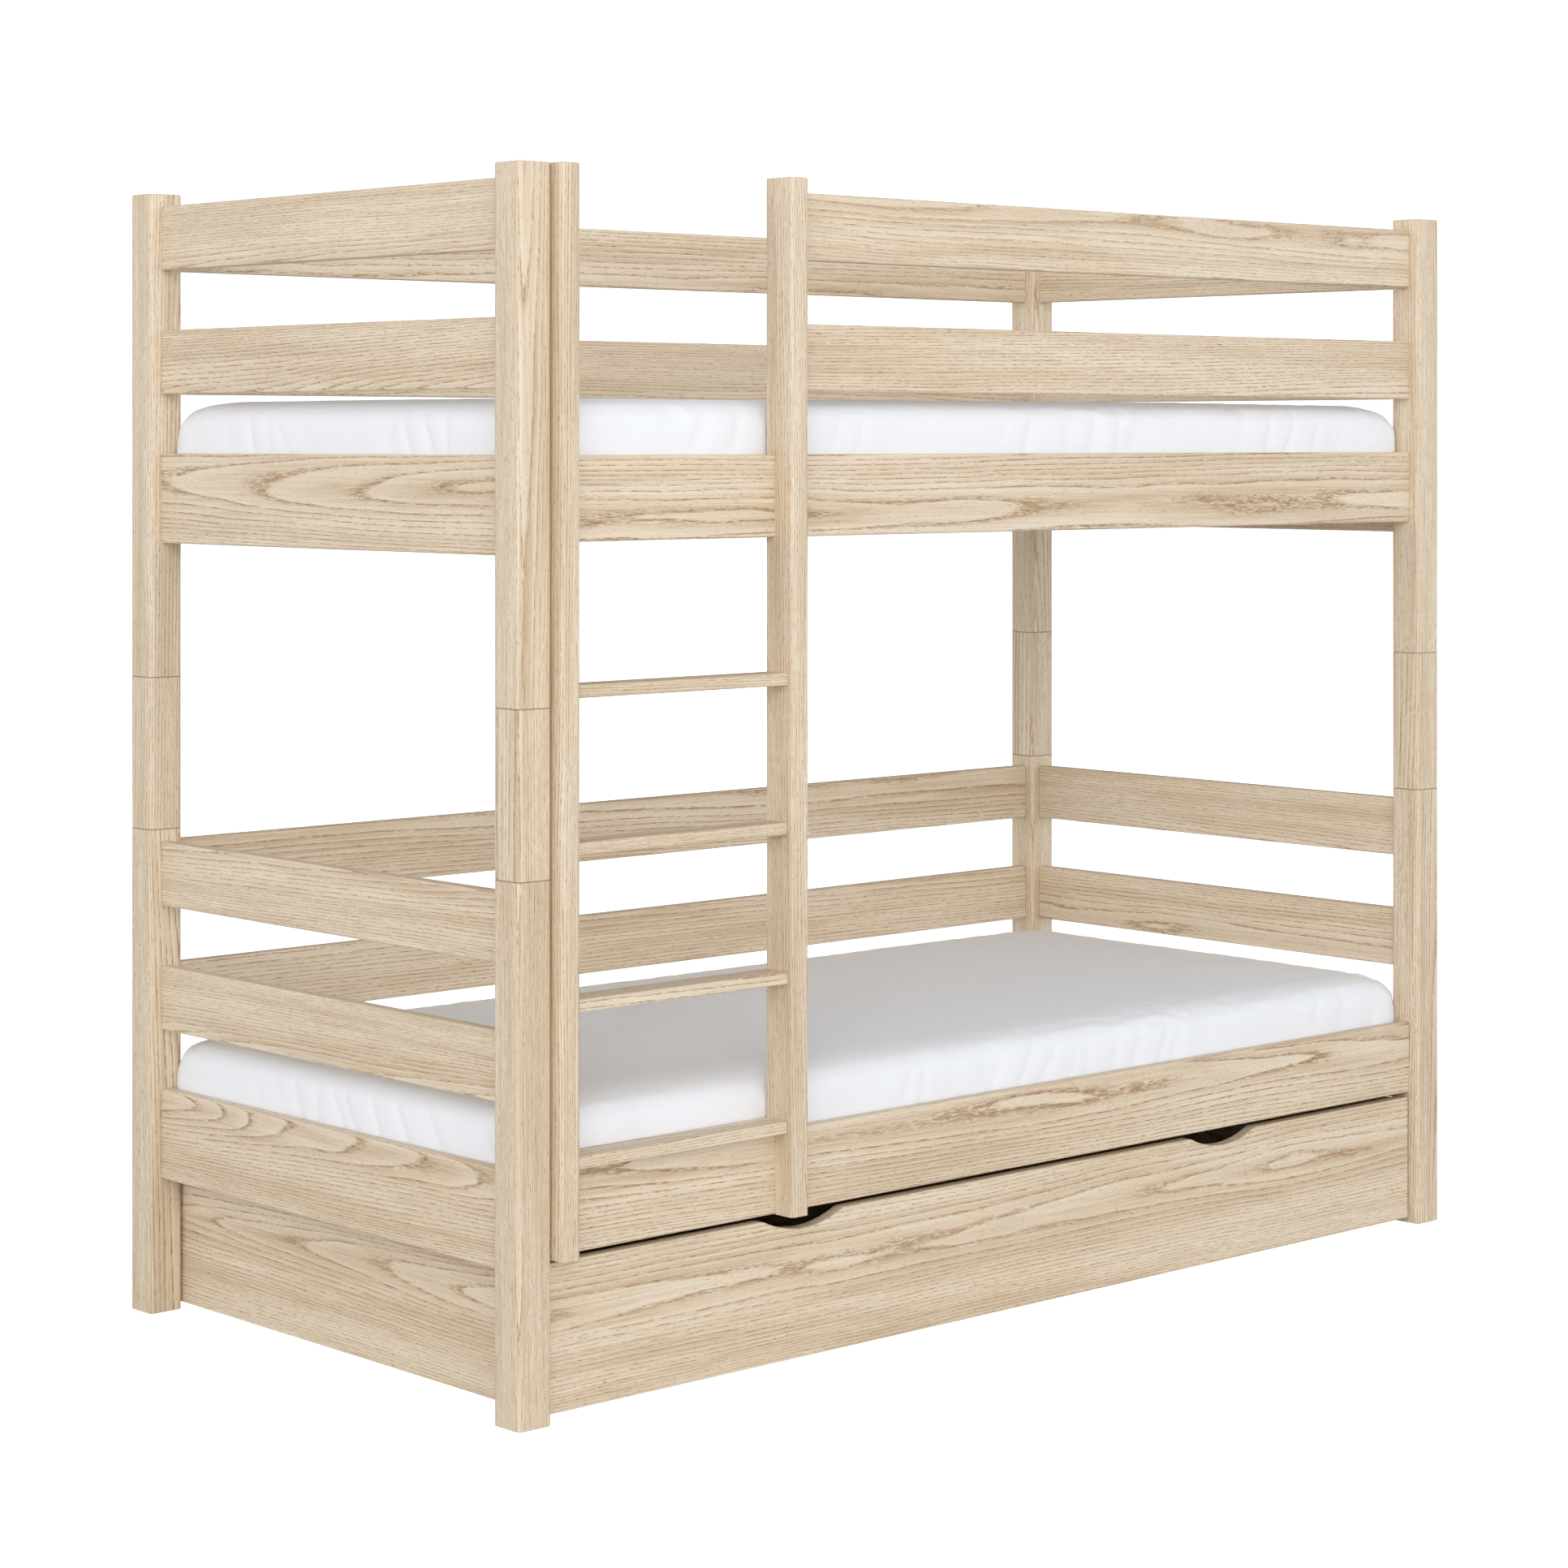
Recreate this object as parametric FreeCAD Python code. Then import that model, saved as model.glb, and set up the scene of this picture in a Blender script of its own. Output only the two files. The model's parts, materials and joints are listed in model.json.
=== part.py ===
"""Bunk bed with a fixed ladder, two mattresses and a rolling drawer, in millimetres.

Two equal single beds are stacked on each other. Each bed has four corner posts, rails and boards;
a spacer stands on every post of the lower bed and carries the post of the upper bed.
X runs along the bed, Y from the front (the ladder side) to the back, Z up from the floor.
The origin is on the floor, in the middle of the overall box.
"""
import FreeCAD, Part
import math
import os
from collections import defaultdict
from FreeCAD import Vector

# ---- driving dimensions: frame ----
bed_length = 1900.0          # over the posts
bed_depth = 915.0            # over the posts
post_size = 55.0             # square section
bed_post_height = 702.0      # one bed's post
spacer_height = 221.0        # between the two beds' posts
post_edge_radius = 8.0
post_top_radius = 2.5
seam_radius = 1.0            # eased edge where two post pieces meet

# ---- rails and boards, measured down from the top of their own bed's post ----
board_thickness = 20.0
board_recess = 18.0          # from a post's outer face to the board's outer face
board_edge_radius = 3.0
rail_height = 93.0
top_rail_drop = 18.0
mid_rail_drop = 198.0
board_drop = 377.0
side_board_height = 113.0    # front and back boards
end_board_height = 130.0     # left and right boards

# ---- ladder ----
ladder_width = 432.5         # over the stiles
ladder_post_gap = 1.5        # from the left stile to the post
stile_width = 32.0
stile_depth = 55.0
stile_edge_radius = 6.0
rung_thickness = 17.0
rung_setback = 9.0           # from the stile's front to the rung's front
rung_pitch = 203.0
rung_count = 4
rung_edge_radius = 2.5

# ---- slatted bases and mattresses ----
deck_drop = 52.0             # from a side board's top down to the slats' top
slat_width = 70.0
slat_thickness = 18.0
slat_count = 13
slat_end_gap = 2.0           # from a slat's end to the side board
slat_edge_radius = 2.0
slat_margin = 20.0           # from the post's inner face to the first slat
cleat_width = 25.0
cleat_height = 30.0
cleat_end_gap = 5.0          # from a cleat's end to the post
mattress_end_gap = 9.0       # from the mattress to the end boards
mattress_side_gap = 8.5      # from the mattress to the front and back boards
mattress_thickness = 125.0
mattress_post_gap = 2.0      # from the mattress's rounded corner to the post
mattress_plan_radius = 25.0  # least radius of that corner, seen from above
mattress_edge_radius = 22.0

# ---- drawer ----
drawer_side_gap = 3.0        # from the drawer to the post
drawer_floor_gap = 9.0       # from the floor to the drawer's lower edge
drawer_top_gap = 8.0         # from the drawer front's top to the side board
drawer_back_inset = 32.0     # from the back posts' outer face to the drawer's back
drawer_front_thickness = 18.0
drawer_panel_thickness = 16.0
drawer_box_height = 191.0    # sides and back
drawer_edge_radius = 1.5
grip_offset = 438.0          # from the middle to each grip cut-out
grip_width = 150.0
grip_depth = 18.0
grip_corner_radius = 14.0
housing_depth = 6.0          # groove that holds a drawer panel's edge
floor_panel_thickness = 6.0
floor_panel_play = 0.2       # around the floor panel in its grooves
bearer_width = 60.0
bearer_thickness = 20.0
bearer_offset = 620.0        # from the middle bearer to the outer ones
bearer_end_gap = 1.0

# ---- castors ----
wheel_radius = 15.0
wheel_width = 13.0
wheel_rim_radius = 2.0
wheel_rim = 3.5              # from the tread to the dished web
wheel_dish_depth = 3.0
wheel_top_clearance = 2.0    # from a wheel to its bracket's plate
hub_radius = 5.5
hub_width = 15.0
hub_end_play = 0.5           # from the hub to each cheek
axle_radius = 2.5
axle_clearance = 0.05
axle_end = 1.0               # of the axle beyond each cheek
bracket_thickness = 2.0
cheek_width = 20.0
plate_size = 44.0
plate_corner_radius = 4.0
plate_screw_spacing = (32.0, 26.0)
castor_inset = 60.0          # from the bearer's end to the castor's centre

# ---- hardware ----
pin_radius = 5.0
pin_half_length = 40.0
dowel_radius = 4.0
dowel_half_length = 20.0
dowel_edge_distance = 21.0   # from a rail's edge to the dowel's centre
rung_dowel_inset = 12.0      # from a rung's long edge to the dowel's centre
bore_clearance = 0.2
bore_extra_depth = 1.0
fitting_plate = (2.5, 12.0, 76.0)  # thickness, width and height of a hook plate or slotted plate
hook_offset = 15.0           # from the plate's middle to each hook
hook_neck = (2.5, 14.0)      # thickness and height of a hook's neck
hook_drop = 6.0              # of the hook's lip behind the slotted plate
hook_lip = 3.0               # thickness of that lip
hook_play = 0.3              # between the hook and the slotted plate
plate_screw_offset = 32.0
wood_screw = (2.0, 4.0, 40.0)      # shank radius, head radius, length
fitting_screw = (1.6, 3.1, 18.0)
castor_screw = (1.75, 3.4, 14.0)
cleat_screw_count = 7
cleat_screw_margin = 80.0
ladder_screw_inset = 32.0    # from a front board's edge to the screw
floor_screw_count = 4        # in each bearer

# ---- places that follow from the dimensions above ----
stile_back_depth = board_recess + board_thickness       # behind the post's front face
ladder_proud = stile_depth - stile_back_depth           # in front of the post's front face
middle_y = ladder_proud / 2
half_length = bed_length / 2
post_inner_x = half_length - post_size
front_y = middle_y - bed_depth / 2
back_y = middle_y + bed_depth / 2
inner_front_y = front_y + stile_back_depth              # inner face of the front boards
inner_back_y = back_y - stile_back_depth
bed_bottoms = {"lower": 0.0, "upper": bed_post_height + spacer_height}
bed_tops = {bed: z + bed_post_height for bed, z in bed_bottoms.items()}
total_height = bed_tops["upper"]
mattress_length = bed_length - 2 * (board_recess + board_thickness + mattress_end_gap)
mattress_width = bed_depth - 2 * (board_recess + board_thickness + mattress_side_gap)
mattress_reach = max(mattress_length / 2 - post_inner_x, mattress_width / 2 - bed_depth / 2 + post_size)
clearing_radius = (post_edge_radius + mattress_post_gap
                   + math.sqrt(2) * (mattress_reach - post_edge_radius)) / (math.sqrt(2) - 1)
mattress_corner_radius = max(mattress_plan_radius, clearing_radius)
drawer_half = post_inner_x - drawer_side_gap
drawer_front_y = front_y + board_recess
drawer_back_y = back_y - drawer_back_inset
ladder_left_x = ladder_post_gap - post_inner_x
stile_spans = {
    "left": (ladder_left_x, ladder_left_x + stile_width),
    "right": (ladder_left_x + ladder_width - stile_width, ladder_left_x + ladder_width),
}

X, Y, Z = Vector(1, 0, 0), Vector(0, 1, 0), Vector(0, 0, 1)

solids = {}                      # node name: its shape
bores = defaultdict(list)        # node name: shapes to cut out of it
hardware = defaultdict(list)     # fastener node name: its separate solids


def block(low, high):
    """A box between two corners."""
    size = [b - a for a, b in zip(low, high)]
    return Part.makeBox(size[0], size[1], size[2], Vector(*low))


def edges_along(shape, axis):
    """The straight edges of a shape that run along an axis."""
    found = []
    for edge in shape.Edges:
        if len(edge.Vertexes) == 2:
            run = edge.Vertexes[1].Point - edge.Vertexes[0].Point
            if run.Length > 0 and abs(abs(run.normalize().dot(axis)) - 1) < 1e-6:
                found.append(edge)
    return found


def edges_at(shape, z):
    """The edges that lie wholly at one height."""
    return [e for e in shape.Edges if abs(e.BoundBox.ZMin - z) < 1e-4 and abs(e.BoundBox.ZMax - z) < 1e-4]


def plank(low, high, axis, radius):
    """A board with its four long edges rounded."""
    board = block(low, high)
    return board.makeFillet(radius, edges_along(board, axis))


def rod(radius, start, direction, length):
    """A round bar from a point along a direction."""
    return Part.makeCylinder(radius, length, start, direction)


def screw_shape(size, at, direction, play=0.0):
    """A countersunk screw whose head is flush at a point."""
    shank, head, length = size
    head_depth = head - shank
    cone = Part.makeCone(head + play, shank + play, head_depth, at, direction)
    return cone.fuse(rod(shank + play, at, direction, length + play))


def add_screw(node, size, at, direction, hosts):
    """A countersunk screw, with its own hole in every piece that it passes through."""
    hardware[node].append(screw_shape(size, at, direction))
    for host in hosts:
        bores[host].append(screw_shape(size, at, direction, bore_clearance))


def add_peg(node, radius, half_length_in, at, direction, hosts):
    """A round peg centred on the face where two pieces meet, with its bore in both."""
    start = at - direction * half_length_in
    hardware[node].append(rod(radius, start, direction, 2 * half_length_in))
    reach = half_length_in + bore_extra_depth
    for host in hosts:
        bores[host].append(rod(radius + bore_clearance, at - direction * reach, direction, 2 * reach))


def upright_box(at, direction, depth, width, low, high):
    """A box that starts at a point, runs along a direction and stands between two heights."""
    across = Vector(-direction.y, direction.x, 0) * (width / 2)
    ends = (at - across, at + across + direction * depth)
    xs = sorted(end.x for end in ends)
    ys = sorted(end.y for end in ends)
    return block((xs[0], ys[0], low), (xs[1], ys[1], high))


def add_hook_fitting(at, direction, post, board):
    """A hook plate let into a board's end, hung in a slotted plate let into the post's face."""
    thickness, width, height = fitting_plate
    neck_thickness, neck_height = hook_neck
    hook_plate = upright_box(at, direction, thickness, width, at.z - height / 2, at.z + height / 2)
    slot_plate = upright_box(at, -direction, thickness, width, at.z - height / 2, at.z + height / 2)
    lip_start = at - direction * (thickness + hook_play)
    for middle in (at.z - hook_offset, at.z + hook_offset):
        low, high = middle - neck_height / 2, middle + neck_height / 2
        neck = upright_box(at, -direction, thickness + hook_play + hook_lip, neck_thickness, low, high)
        lip = upright_box(lip_start, -direction, hook_lip, neck_thickness, low - hook_drop, high)
        hook_plate = hook_plate.fuse(neck).fuse(lip)
        slot_width = neck_thickness + 2 * hook_play
        slot_low, slot_high = low - hook_play, high + hook_drop + hook_play
        slot_plate = slot_plate.cut(upright_box(at, -direction, thickness, slot_width, slot_low, slot_high))
        pocket_depth = thickness + hook_lip + 2 * hook_play
        pocket = upright_box(at, -direction, pocket_depth, slot_width, slot_low - hook_drop, slot_high)
        bores[post].append(pocket)
    hardware["rail_hooks"].append(hook_plate.removeSplitter())
    hardware["post_slot_plates"].append(slot_plate)
    low, high = at.z - height / 2 - bore_clearance, at.z + height / 2 + bore_clearance
    for host, inward, plate in ((board, direction, "rail_hooks"), (post, -direction, "post_slot_plates")):
        bores[host].append(upright_box(at, inward, thickness, width + 2 * bore_clearance, low, high))
        for offset in (-plate_screw_offset, plate_screw_offset):
            add_screw("fitting_screws", fitting_screw, at + Z * offset, inward, (plate, host))


# ---- posts ----
def post_piece(side_x, side_y, low, high, low_radius, high_radius):
    """One length of a corner post: rounded upright edges and eased ends."""
    xs = sorted((side_x * half_length, side_x * post_inner_x))
    outer_y = front_y if side_y < 0 else back_y
    ys = sorted((outer_y, outer_y - side_y * post_size))
    piece = plank((xs[0], ys[0], low), (xs[1], ys[1], high), Z, post_edge_radius)
    piece = piece.makeFillet(low_radius, edges_at(piece, low))
    return piece.makeFillet(high_radius, edges_at(piece, high))


def post_centre(side_x, side_y):
    outer_y = front_y if side_y < 0 else back_y
    return side_x * (half_length - post_size / 2), outer_y - side_y * post_size / 2


corners = {
    "front_left": (-1, -1),
    "front_right": (1, -1),
    "back_left": (-1, 1),
    "back_right": (1, 1),
}


def make_posts():
    spacers = []
    lower_top = bed_tops["lower"]
    upper_bottom = bed_bottoms["upper"]
    for corner, (sx, sy) in corners.items():
        solids[f"lower_post_{corner}"] = post_piece(sx, sy, 0.0, lower_top, seam_radius, seam_radius)
        solids[f"upper_post_{corner}"] = post_piece(
            sx, sy, upper_bottom, total_height, seam_radius, post_top_radius
        )
        spacers.append(post_piece(sx, sy, lower_top, upper_bottom, seam_radius, seam_radius))
        cx, cy = post_centre(sx, sy)
        for z, hosts in (
            (lower_top, (f"lower_post_{corner}", "post_spacers")),
            (upper_bottom, ("post_spacers", f"upper_post_{corner}")),
        ):
            add_peg("post_pins", pin_radius, pin_half_length, Vector(cx, cy, z), Z, hosts)
    solids["post_spacers"] = Part.makeCompound(spacers)


# ---- rails and boards ----
def heights(bed, drop, height):
    top = bed_tops[bed] - drop
    return top - height, top


def make_end_pieces():
    """Two rails and a board between the posts at each end, held by glued dowels."""
    end_parts = (
        ("top_rail", top_rail_drop, rail_height),
        ("mid_rail", mid_rail_drop, rail_height),
        ("board", board_drop, end_board_height),
    )
    for bed in bed_bottoms:
        for side, sx in (("left", -1), ("right", 1)):
            outer_x = sx * (half_length - board_recess)
            xs = sorted((outer_x, outer_x - sx * board_thickness))
            for part, drop, height in end_parts:
                low, high = heights(bed, drop, height)
                name = f"{bed}_{side}_{part}"
                ys = (front_y + post_size, back_y - post_size)
                solids[name] = plank((xs[0], ys[0], low), (xs[1], ys[1], high), Y, board_edge_radius)
                for corner, face_y in ((f"front_{side}", ys[0]), (f"back_{side}", ys[1])):
                    for z in (low + dowel_edge_distance, high - dowel_edge_distance):
                        at = Vector(sum(xs) / 2, face_y, z)
                        hosts = (f"{bed}_post_{corner}", name)
                        add_peg("rail_dowels", dowel_radius, dowel_half_length, at, Y, hosts)


def side_piece(name, bed, face_y, inward, x_span, drop, height, ends):
    """A rail or board along the bed. ends names the piece that it meets at its left and right."""
    low, high = heights(bed, drop, height)
    ys = sorted((face_y, face_y - inward.y * board_thickness))
    solids[name] = plank((x_span[0], ys[0], low), (x_span[1], ys[1], high), X, board_edge_radius)
    for x, direction, host in ((x_span[0], X, ends[0]), (x_span[1], -X, ends[1])):
        add_hook_fitting(Vector(x, sum(ys) / 2, (low + high) / 2), direction, host, name)


def make_side_pieces():
    """The boards and rails along the front and back, hung on the posts by hidden hook fittings."""
    full = (-post_inner_x, post_inner_x)
    for bed in bed_bottoms:
        for side, face_y, inward in (("front", inner_front_y, Y), ("back", inner_back_y, -Y)):
            posts = (f"{bed}_post_{side}_left", f"{bed}_post_{side}_right")
            name = f"{bed}_{side}_board"
            side_piece(name, bed, face_y, inward, full, board_drop, side_board_height, posts)
        posts = (f"{bed}_post_back_left", f"{bed}_post_back_right")
        for part, drop in (("top_rail", top_rail_drop), ("mid_rail", mid_rail_drop)):
            name = f"{bed}_back_{part}"
            side_piece(name, bed, inner_back_y, -Y, full, drop, rail_height, posts)
    guard = (stile_spans["right"][1], post_inner_x)
    ends = ("ladder_stile_right", "upper_post_front_right")
    for part, drop in (("top_guard", top_rail_drop), ("mid_guard", mid_rail_drop)):
        side_piece(f"upper_front_{part}", "upper", inner_front_y, Y, guard, drop, rail_height, ends)


# ---- ladder ----
def make_ladder():
    """Two stiles notched over the front boards, with flat rungs dowelled between them."""
    stile_front_y = front_y - ladder_proud
    bottom = heights("lower", board_drop, side_board_height)[0]
    for side, span in stile_spans.items():
        stile = plank(
            (span[0], stile_front_y, bottom), (span[1], inner_front_y, total_height), Z, stile_edge_radius
        )
        stile = stile.makeFillet(post_top_radius, edges_at(stile, total_height))
        for bed in bed_bottoms:
            low, high = heights(bed, board_drop, side_board_height)
            notch_low = (span[0] - 1, front_y + board_recess, low)
            notch = block(notch_low, (span[1] + 1, inner_front_y + 1, high))
            stile = stile.cut(notch)
            for z in (low + ladder_screw_inset, high - ladder_screw_inset):
                at = Vector(sum(span) / 2, inner_front_y, z)
                hosts = (f"{bed}_front_board", f"ladder_stile_{side}")
                add_screw("wood_screws", wood_screw, at, -Y, hosts)
        solids[f"ladder_stile_{side}"] = stile
    rung_front_y = stile_front_y + rung_setback
    first_bottom = heights("lower", board_drop, side_board_height)[1]
    left_inner, right_inner = stile_spans["left"][1], stile_spans["right"][0]
    for number in range(rung_count):
        low = first_bottom + number * rung_pitch
        name = f"ladder_rung_{number + 1}"
        far_corner = (right_inner, inner_front_y, low + rung_thickness)
        solids[name] = plank((left_inner, rung_front_y, low), far_corner, X, rung_edge_radius)
        for y in (rung_front_y + rung_dowel_inset, inner_front_y - rung_dowel_inset):
            for x, side in ((left_inner, "left"), (right_inner, "right")):
                at = Vector(x, y, low + rung_thickness / 2)
                hosts = (f"ladder_stile_{side}", name)
                add_peg("rail_dowels", dowel_radius, dowel_half_length, at, X, hosts)


# ---- slatted bases and mattresses ----
def make_bases():
    for bed in bed_bottoms:
        deck = bed_tops[bed] - board_drop - deck_drop
        make_cleats(bed, deck - slat_thickness)
        make_slats(bed, deck)
        make_mattress(bed, deck)


def make_cleats(bed, top):
    """Battens along the inside of the front and back boards that carry the slats."""
    end = post_inner_x - cleat_end_gap
    pieces = []
    for side, face_y, inward in (("front", inner_front_y, Y), ("back", inner_back_y, -Y)):
        ys = sorted((face_y, face_y + inward.y * cleat_width))
        pieces.append(plank((-end, ys[0], top - cleat_height), (end, ys[1], top), X, slat_edge_radius))
        for number in range(cleat_screw_count):
            share = number / (cleat_screw_count - 1)
            x = (end - cleat_screw_margin) * (2 * share - 1) + slat_pitch() / 4 * (-1) ** number
            at = Vector(x, face_y + inward.y * cleat_width, top - cleat_height / 2)
            add_screw("wood_screws", wood_screw, at, -inward, (f"{bed}_cleats", f"{bed}_{side}_board"))
    solids[f"{bed}_cleats"] = Part.makeCompound(pieces)


def slat_pitch():
    return (2 * (post_inner_x - slat_margin) - slat_width) / (slat_count - 1)


def make_slats(bed, deck):
    """Cross slats on the cleats, one screw at each end."""
    y_low, y_high = inner_front_y + slat_end_gap, inner_back_y - slat_end_gap
    first = -(post_inner_x - slat_margin)
    pieces = []
    for number in range(slat_count):
        x = first + number * slat_pitch()
        low, high = (x, y_low, deck - slat_thickness), (x + slat_width, y_high, deck)
        pieces.append(plank(low, high, Y, slat_edge_radius))
        for y in (inner_front_y + cleat_width / 2, inner_back_y - cleat_width / 2):
            at = Vector(x + slat_width / 2, y, deck)
            add_screw("wood_screws", wood_screw, at, -Z, (f"{bed}_slats", f"{bed}_cleats"))
    solids[f"{bed}_slats"] = Part.makeCompound(pieces)


def make_mattress(bed, deck):
    low = (-mattress_length / 2, middle_y - mattress_width / 2, deck)
    high = (mattress_length / 2, middle_y + mattress_width / 2, deck + mattress_thickness)
    body = plank(low, high, Z, mattress_corner_radius)
    rims = edges_at(body, low[2]) + edges_at(body, high[2])
    solids[f"{bed}_mattress"] = body.makeFillet(mattress_edge_radius, rims)


# ---- drawer ----
def drawer_levels():
    bottom = drawer_floor_gap
    front_top = heights("lower", board_drop, side_board_height)[0] - drawer_top_gap
    bearer_bottom = 2 * wheel_radius + wheel_top_clearance + bracket_thickness
    return bottom, front_top, bearer_bottom, bearer_bottom + bearer_thickness


def make_drawer():
    make_drawer_front()
    make_drawer_box()
    make_bearers_and_castors()


def make_drawer_front():
    """The front panel, with two shallow arcs cut in its top edge for the hands."""
    bottom, top, _, floor_z = drawer_levels()
    face_y, inner_y = drawer_front_y, drawer_front_y + drawer_front_thickness
    panel = block((-drawer_half, face_y, bottom), (drawer_half, inner_y, top))
    radius = ((grip_width / 2) ** 2 + grip_depth ** 2) / (2 * grip_depth)
    for x in (-grip_offset, grip_offset):
        centre = Vector(x, face_y - 1, top - grip_depth + radius)
        panel = panel.cut(rod(radius, centre, Y, drawer_front_thickness + 2))
    grip_ends = [
        e for e in edges_along(panel, Y)
        if abs(e.BoundBox.ZMin - top) < 1e-3 and abs(abs(e.BoundBox.XMin) - drawer_half) > 1
    ]
    panel = panel.makeFillet(grip_corner_radius, grip_ends)
    rim = [e for e in panel.Edges if e.BoundBox.YMax < face_y + 1e-3]
    panel = panel.makeFillet(drawer_edge_radius, rim)
    groove_y = inner_y - housing_depth
    for sx in (-1, 1):
        xs = sorted((sx * (drawer_half - drawer_panel_thickness), sx * (drawer_half + 1)))
        housing = block((xs[0], groove_y, bottom - 1), (xs[1], inner_y + 1, bottom + drawer_box_height))
        panel = panel.cut(housing)
    inner_half = drawer_half - drawer_panel_thickness
    groove = block(
        (-inner_half, groove_y - floor_panel_play, floor_z - floor_panel_play),
        (inner_half, inner_y + 1, floor_z + floor_panel_thickness + floor_panel_play)
    )
    solids["drawer_front"] = panel.cut(groove)


def make_drawer_box():
    """Sides housed in the front, a back housed between them, and a thin floor in grooves."""
    bottom, _, _, floor_z = drawer_levels()
    top = bottom + drawer_box_height
    side_front = drawer_front_y + drawer_front_thickness - housing_depth
    inner_half = drawer_half - drawer_panel_thickness
    back_inner = drawer_back_y - drawer_panel_thickness
    floor_low = floor_z - floor_panel_play
    floor_high = floor_z + floor_panel_thickness + floor_panel_play
    for side, sx in (("left", -1), ("right", 1)):
        xs = sorted((sx * drawer_half, sx * inner_half))
        panel = block((xs[0], side_front, bottom), (xs[1], drawer_back_y, top))
        rims = [e for e in edges_along(panel, Y) if abs(e.BoundBox.ZMin - top) < 1e-3]
        panel = panel.makeFillet(drawer_edge_radius, rims)
        deep = sorted((sx * (inner_half - 1), sx * (inner_half + housing_depth)))
        panel = panel.cut(block((deep[0], back_inner, bottom - 1), (deep[1], drawer_back_y + 1, top + 1)))
        deep[0 if sx < 0 else 1] += sx * floor_panel_play
        groove = block((deep[0], side_front - 1, floor_low), (deep[1], back_inner, floor_high))
        solids[f"drawer_side_{side}"] = panel.cut(groove)
    back_half = inner_half + housing_depth
    back = block((-back_half, back_inner, bottom), (back_half, drawer_back_y, top))
    rims = [e for e in edges_along(back, X) if abs(e.BoundBox.ZMin - top) < 1e-3]
    back = back.makeFillet(drawer_edge_radius, rims)
    groove_depth = back_inner + housing_depth
    groove = block((-back_half - 1, back_inner - 1, floor_low), (back_half + 1, groove_depth, floor_high))
    solids["drawer_back"] = back.cut(groove)
    floor_front = drawer_front_y + drawer_front_thickness - housing_depth
    solids["drawer_floor"] = block(
        (-inner_half - housing_depth + floor_panel_play, floor_front, floor_z),
        (inner_half + housing_depth - floor_panel_play, back_inner + housing_depth - floor_panel_play,
         floor_z + floor_panel_thickness)
    ).cut(floor_corners(inner_half, floor_front, back_inner, floor_z))


def floor_corners(inner_half, floor_front, back_inner, floor_z):
    """The front and back corners that the floor panel loses where the side panels are housed."""
    panel_inner = drawer_front_y + drawer_front_thickness
    pieces = []
    for sx in (-1, 1):
        xs = sorted((sx * (inner_half - floor_panel_play), sx * (inner_half + housing_depth + 1)))
        for ys in ((floor_front - 1, panel_inner), (back_inner - floor_panel_play, drawer_back_y)):
            top = floor_z + floor_panel_thickness + 1
            pieces.append(block((xs[0], ys[0], floor_z - 1), (xs[1], ys[1], top)))
    return Part.makeCompound(pieces)


def make_bearers_and_castors():
    """Three bearers under the drawer's floor, each with a castor near its front and back end."""
    _, _, bearer_bottom, floor_z = drawer_levels()
    y_low = drawer_front_y + drawer_front_thickness + bearer_end_gap
    y_high = drawer_back_y - drawer_panel_thickness - bearer_end_gap
    rows = {"front": y_low + castor_inset, "rear": y_high - castor_inset}
    bearers, brackets, axles = [], [], []
    wheels = {row: [] for row in rows}
    for x in (-bearer_offset, 0.0, bearer_offset):
        low, high = (x - bearer_width / 2, y_low, bearer_bottom), (x + bearer_width / 2, y_high, floor_z)
        bearers.append(plank(low, high, Y, slat_edge_radius))
        for row, y in rows.items():
            brackets.append(castor_bracket(x, y, bearer_bottom))
            axles.append(castor_axle(x, y))
            wheels[row].append(castor_wheel(x, y))
            for dx in (-plate_screw_spacing[0] / 2, plate_screw_spacing[0] / 2):
                for dy in (-plate_screw_spacing[1] / 2, plate_screw_spacing[1] / 2):
                    at = Vector(x + dx, y + dy, bearer_bottom - bracket_thickness)
                    add_screw("drawer_screws", castor_screw, at, Z, ("castor_brackets", "drawer_bearers"))
        floor_top = floor_z + floor_panel_thickness
        for number in range(1, floor_screw_count + 1):
            at = Vector(x, y_low + number * (y_high - y_low) / (floor_screw_count + 1), floor_top)
            add_screw("drawer_screws", castor_screw, at, -Z, ("drawer_floor", "drawer_bearers"))
    solids["drawer_bearers"] = Part.makeCompound(bearers)
    solids["castor_brackets"] = Part.makeCompound(brackets)
    solids["castor_axles"] = Part.makeCompound(axles)
    for row, pieces in wheels.items():
        solids[f"{row}_wheels"] = Part.makeCompound(pieces)


def castor_axle(x, y):
    reach = hub_width / 2 + hub_end_play + bracket_thickness + axle_end
    return rod(axle_radius, Vector(x - reach, y, wheel_radius), X, 2 * reach)


def castor_bracket(x, y, top):
    """A plate with two cheeks that hold the axle."""
    half = plate_size / 2
    plate = block((x - half, y - half, top - bracket_thickness), (x + half, y + half, top))
    shape = plate.makeFillet(plate_corner_radius, edges_along(plate, Z))
    cheek_half = cheek_width / 2
    inner = hub_width / 2 + hub_end_play
    for sx in (-1, 1):
        xs = sorted((x + sx * inner, x + sx * (inner + bracket_thickness)))
        cheek = block((xs[0], y - cheek_half, wheel_radius), (xs[1], y + cheek_half, top - bracket_thickness))
        foot = rod(cheek_half, Vector(xs[0], y, wheel_radius), X, bracket_thickness)
        shape = shape.fuse(cheek).fuse(foot)
    return shape.cut(castor_axle(x, y)).removeSplitter()


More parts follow.
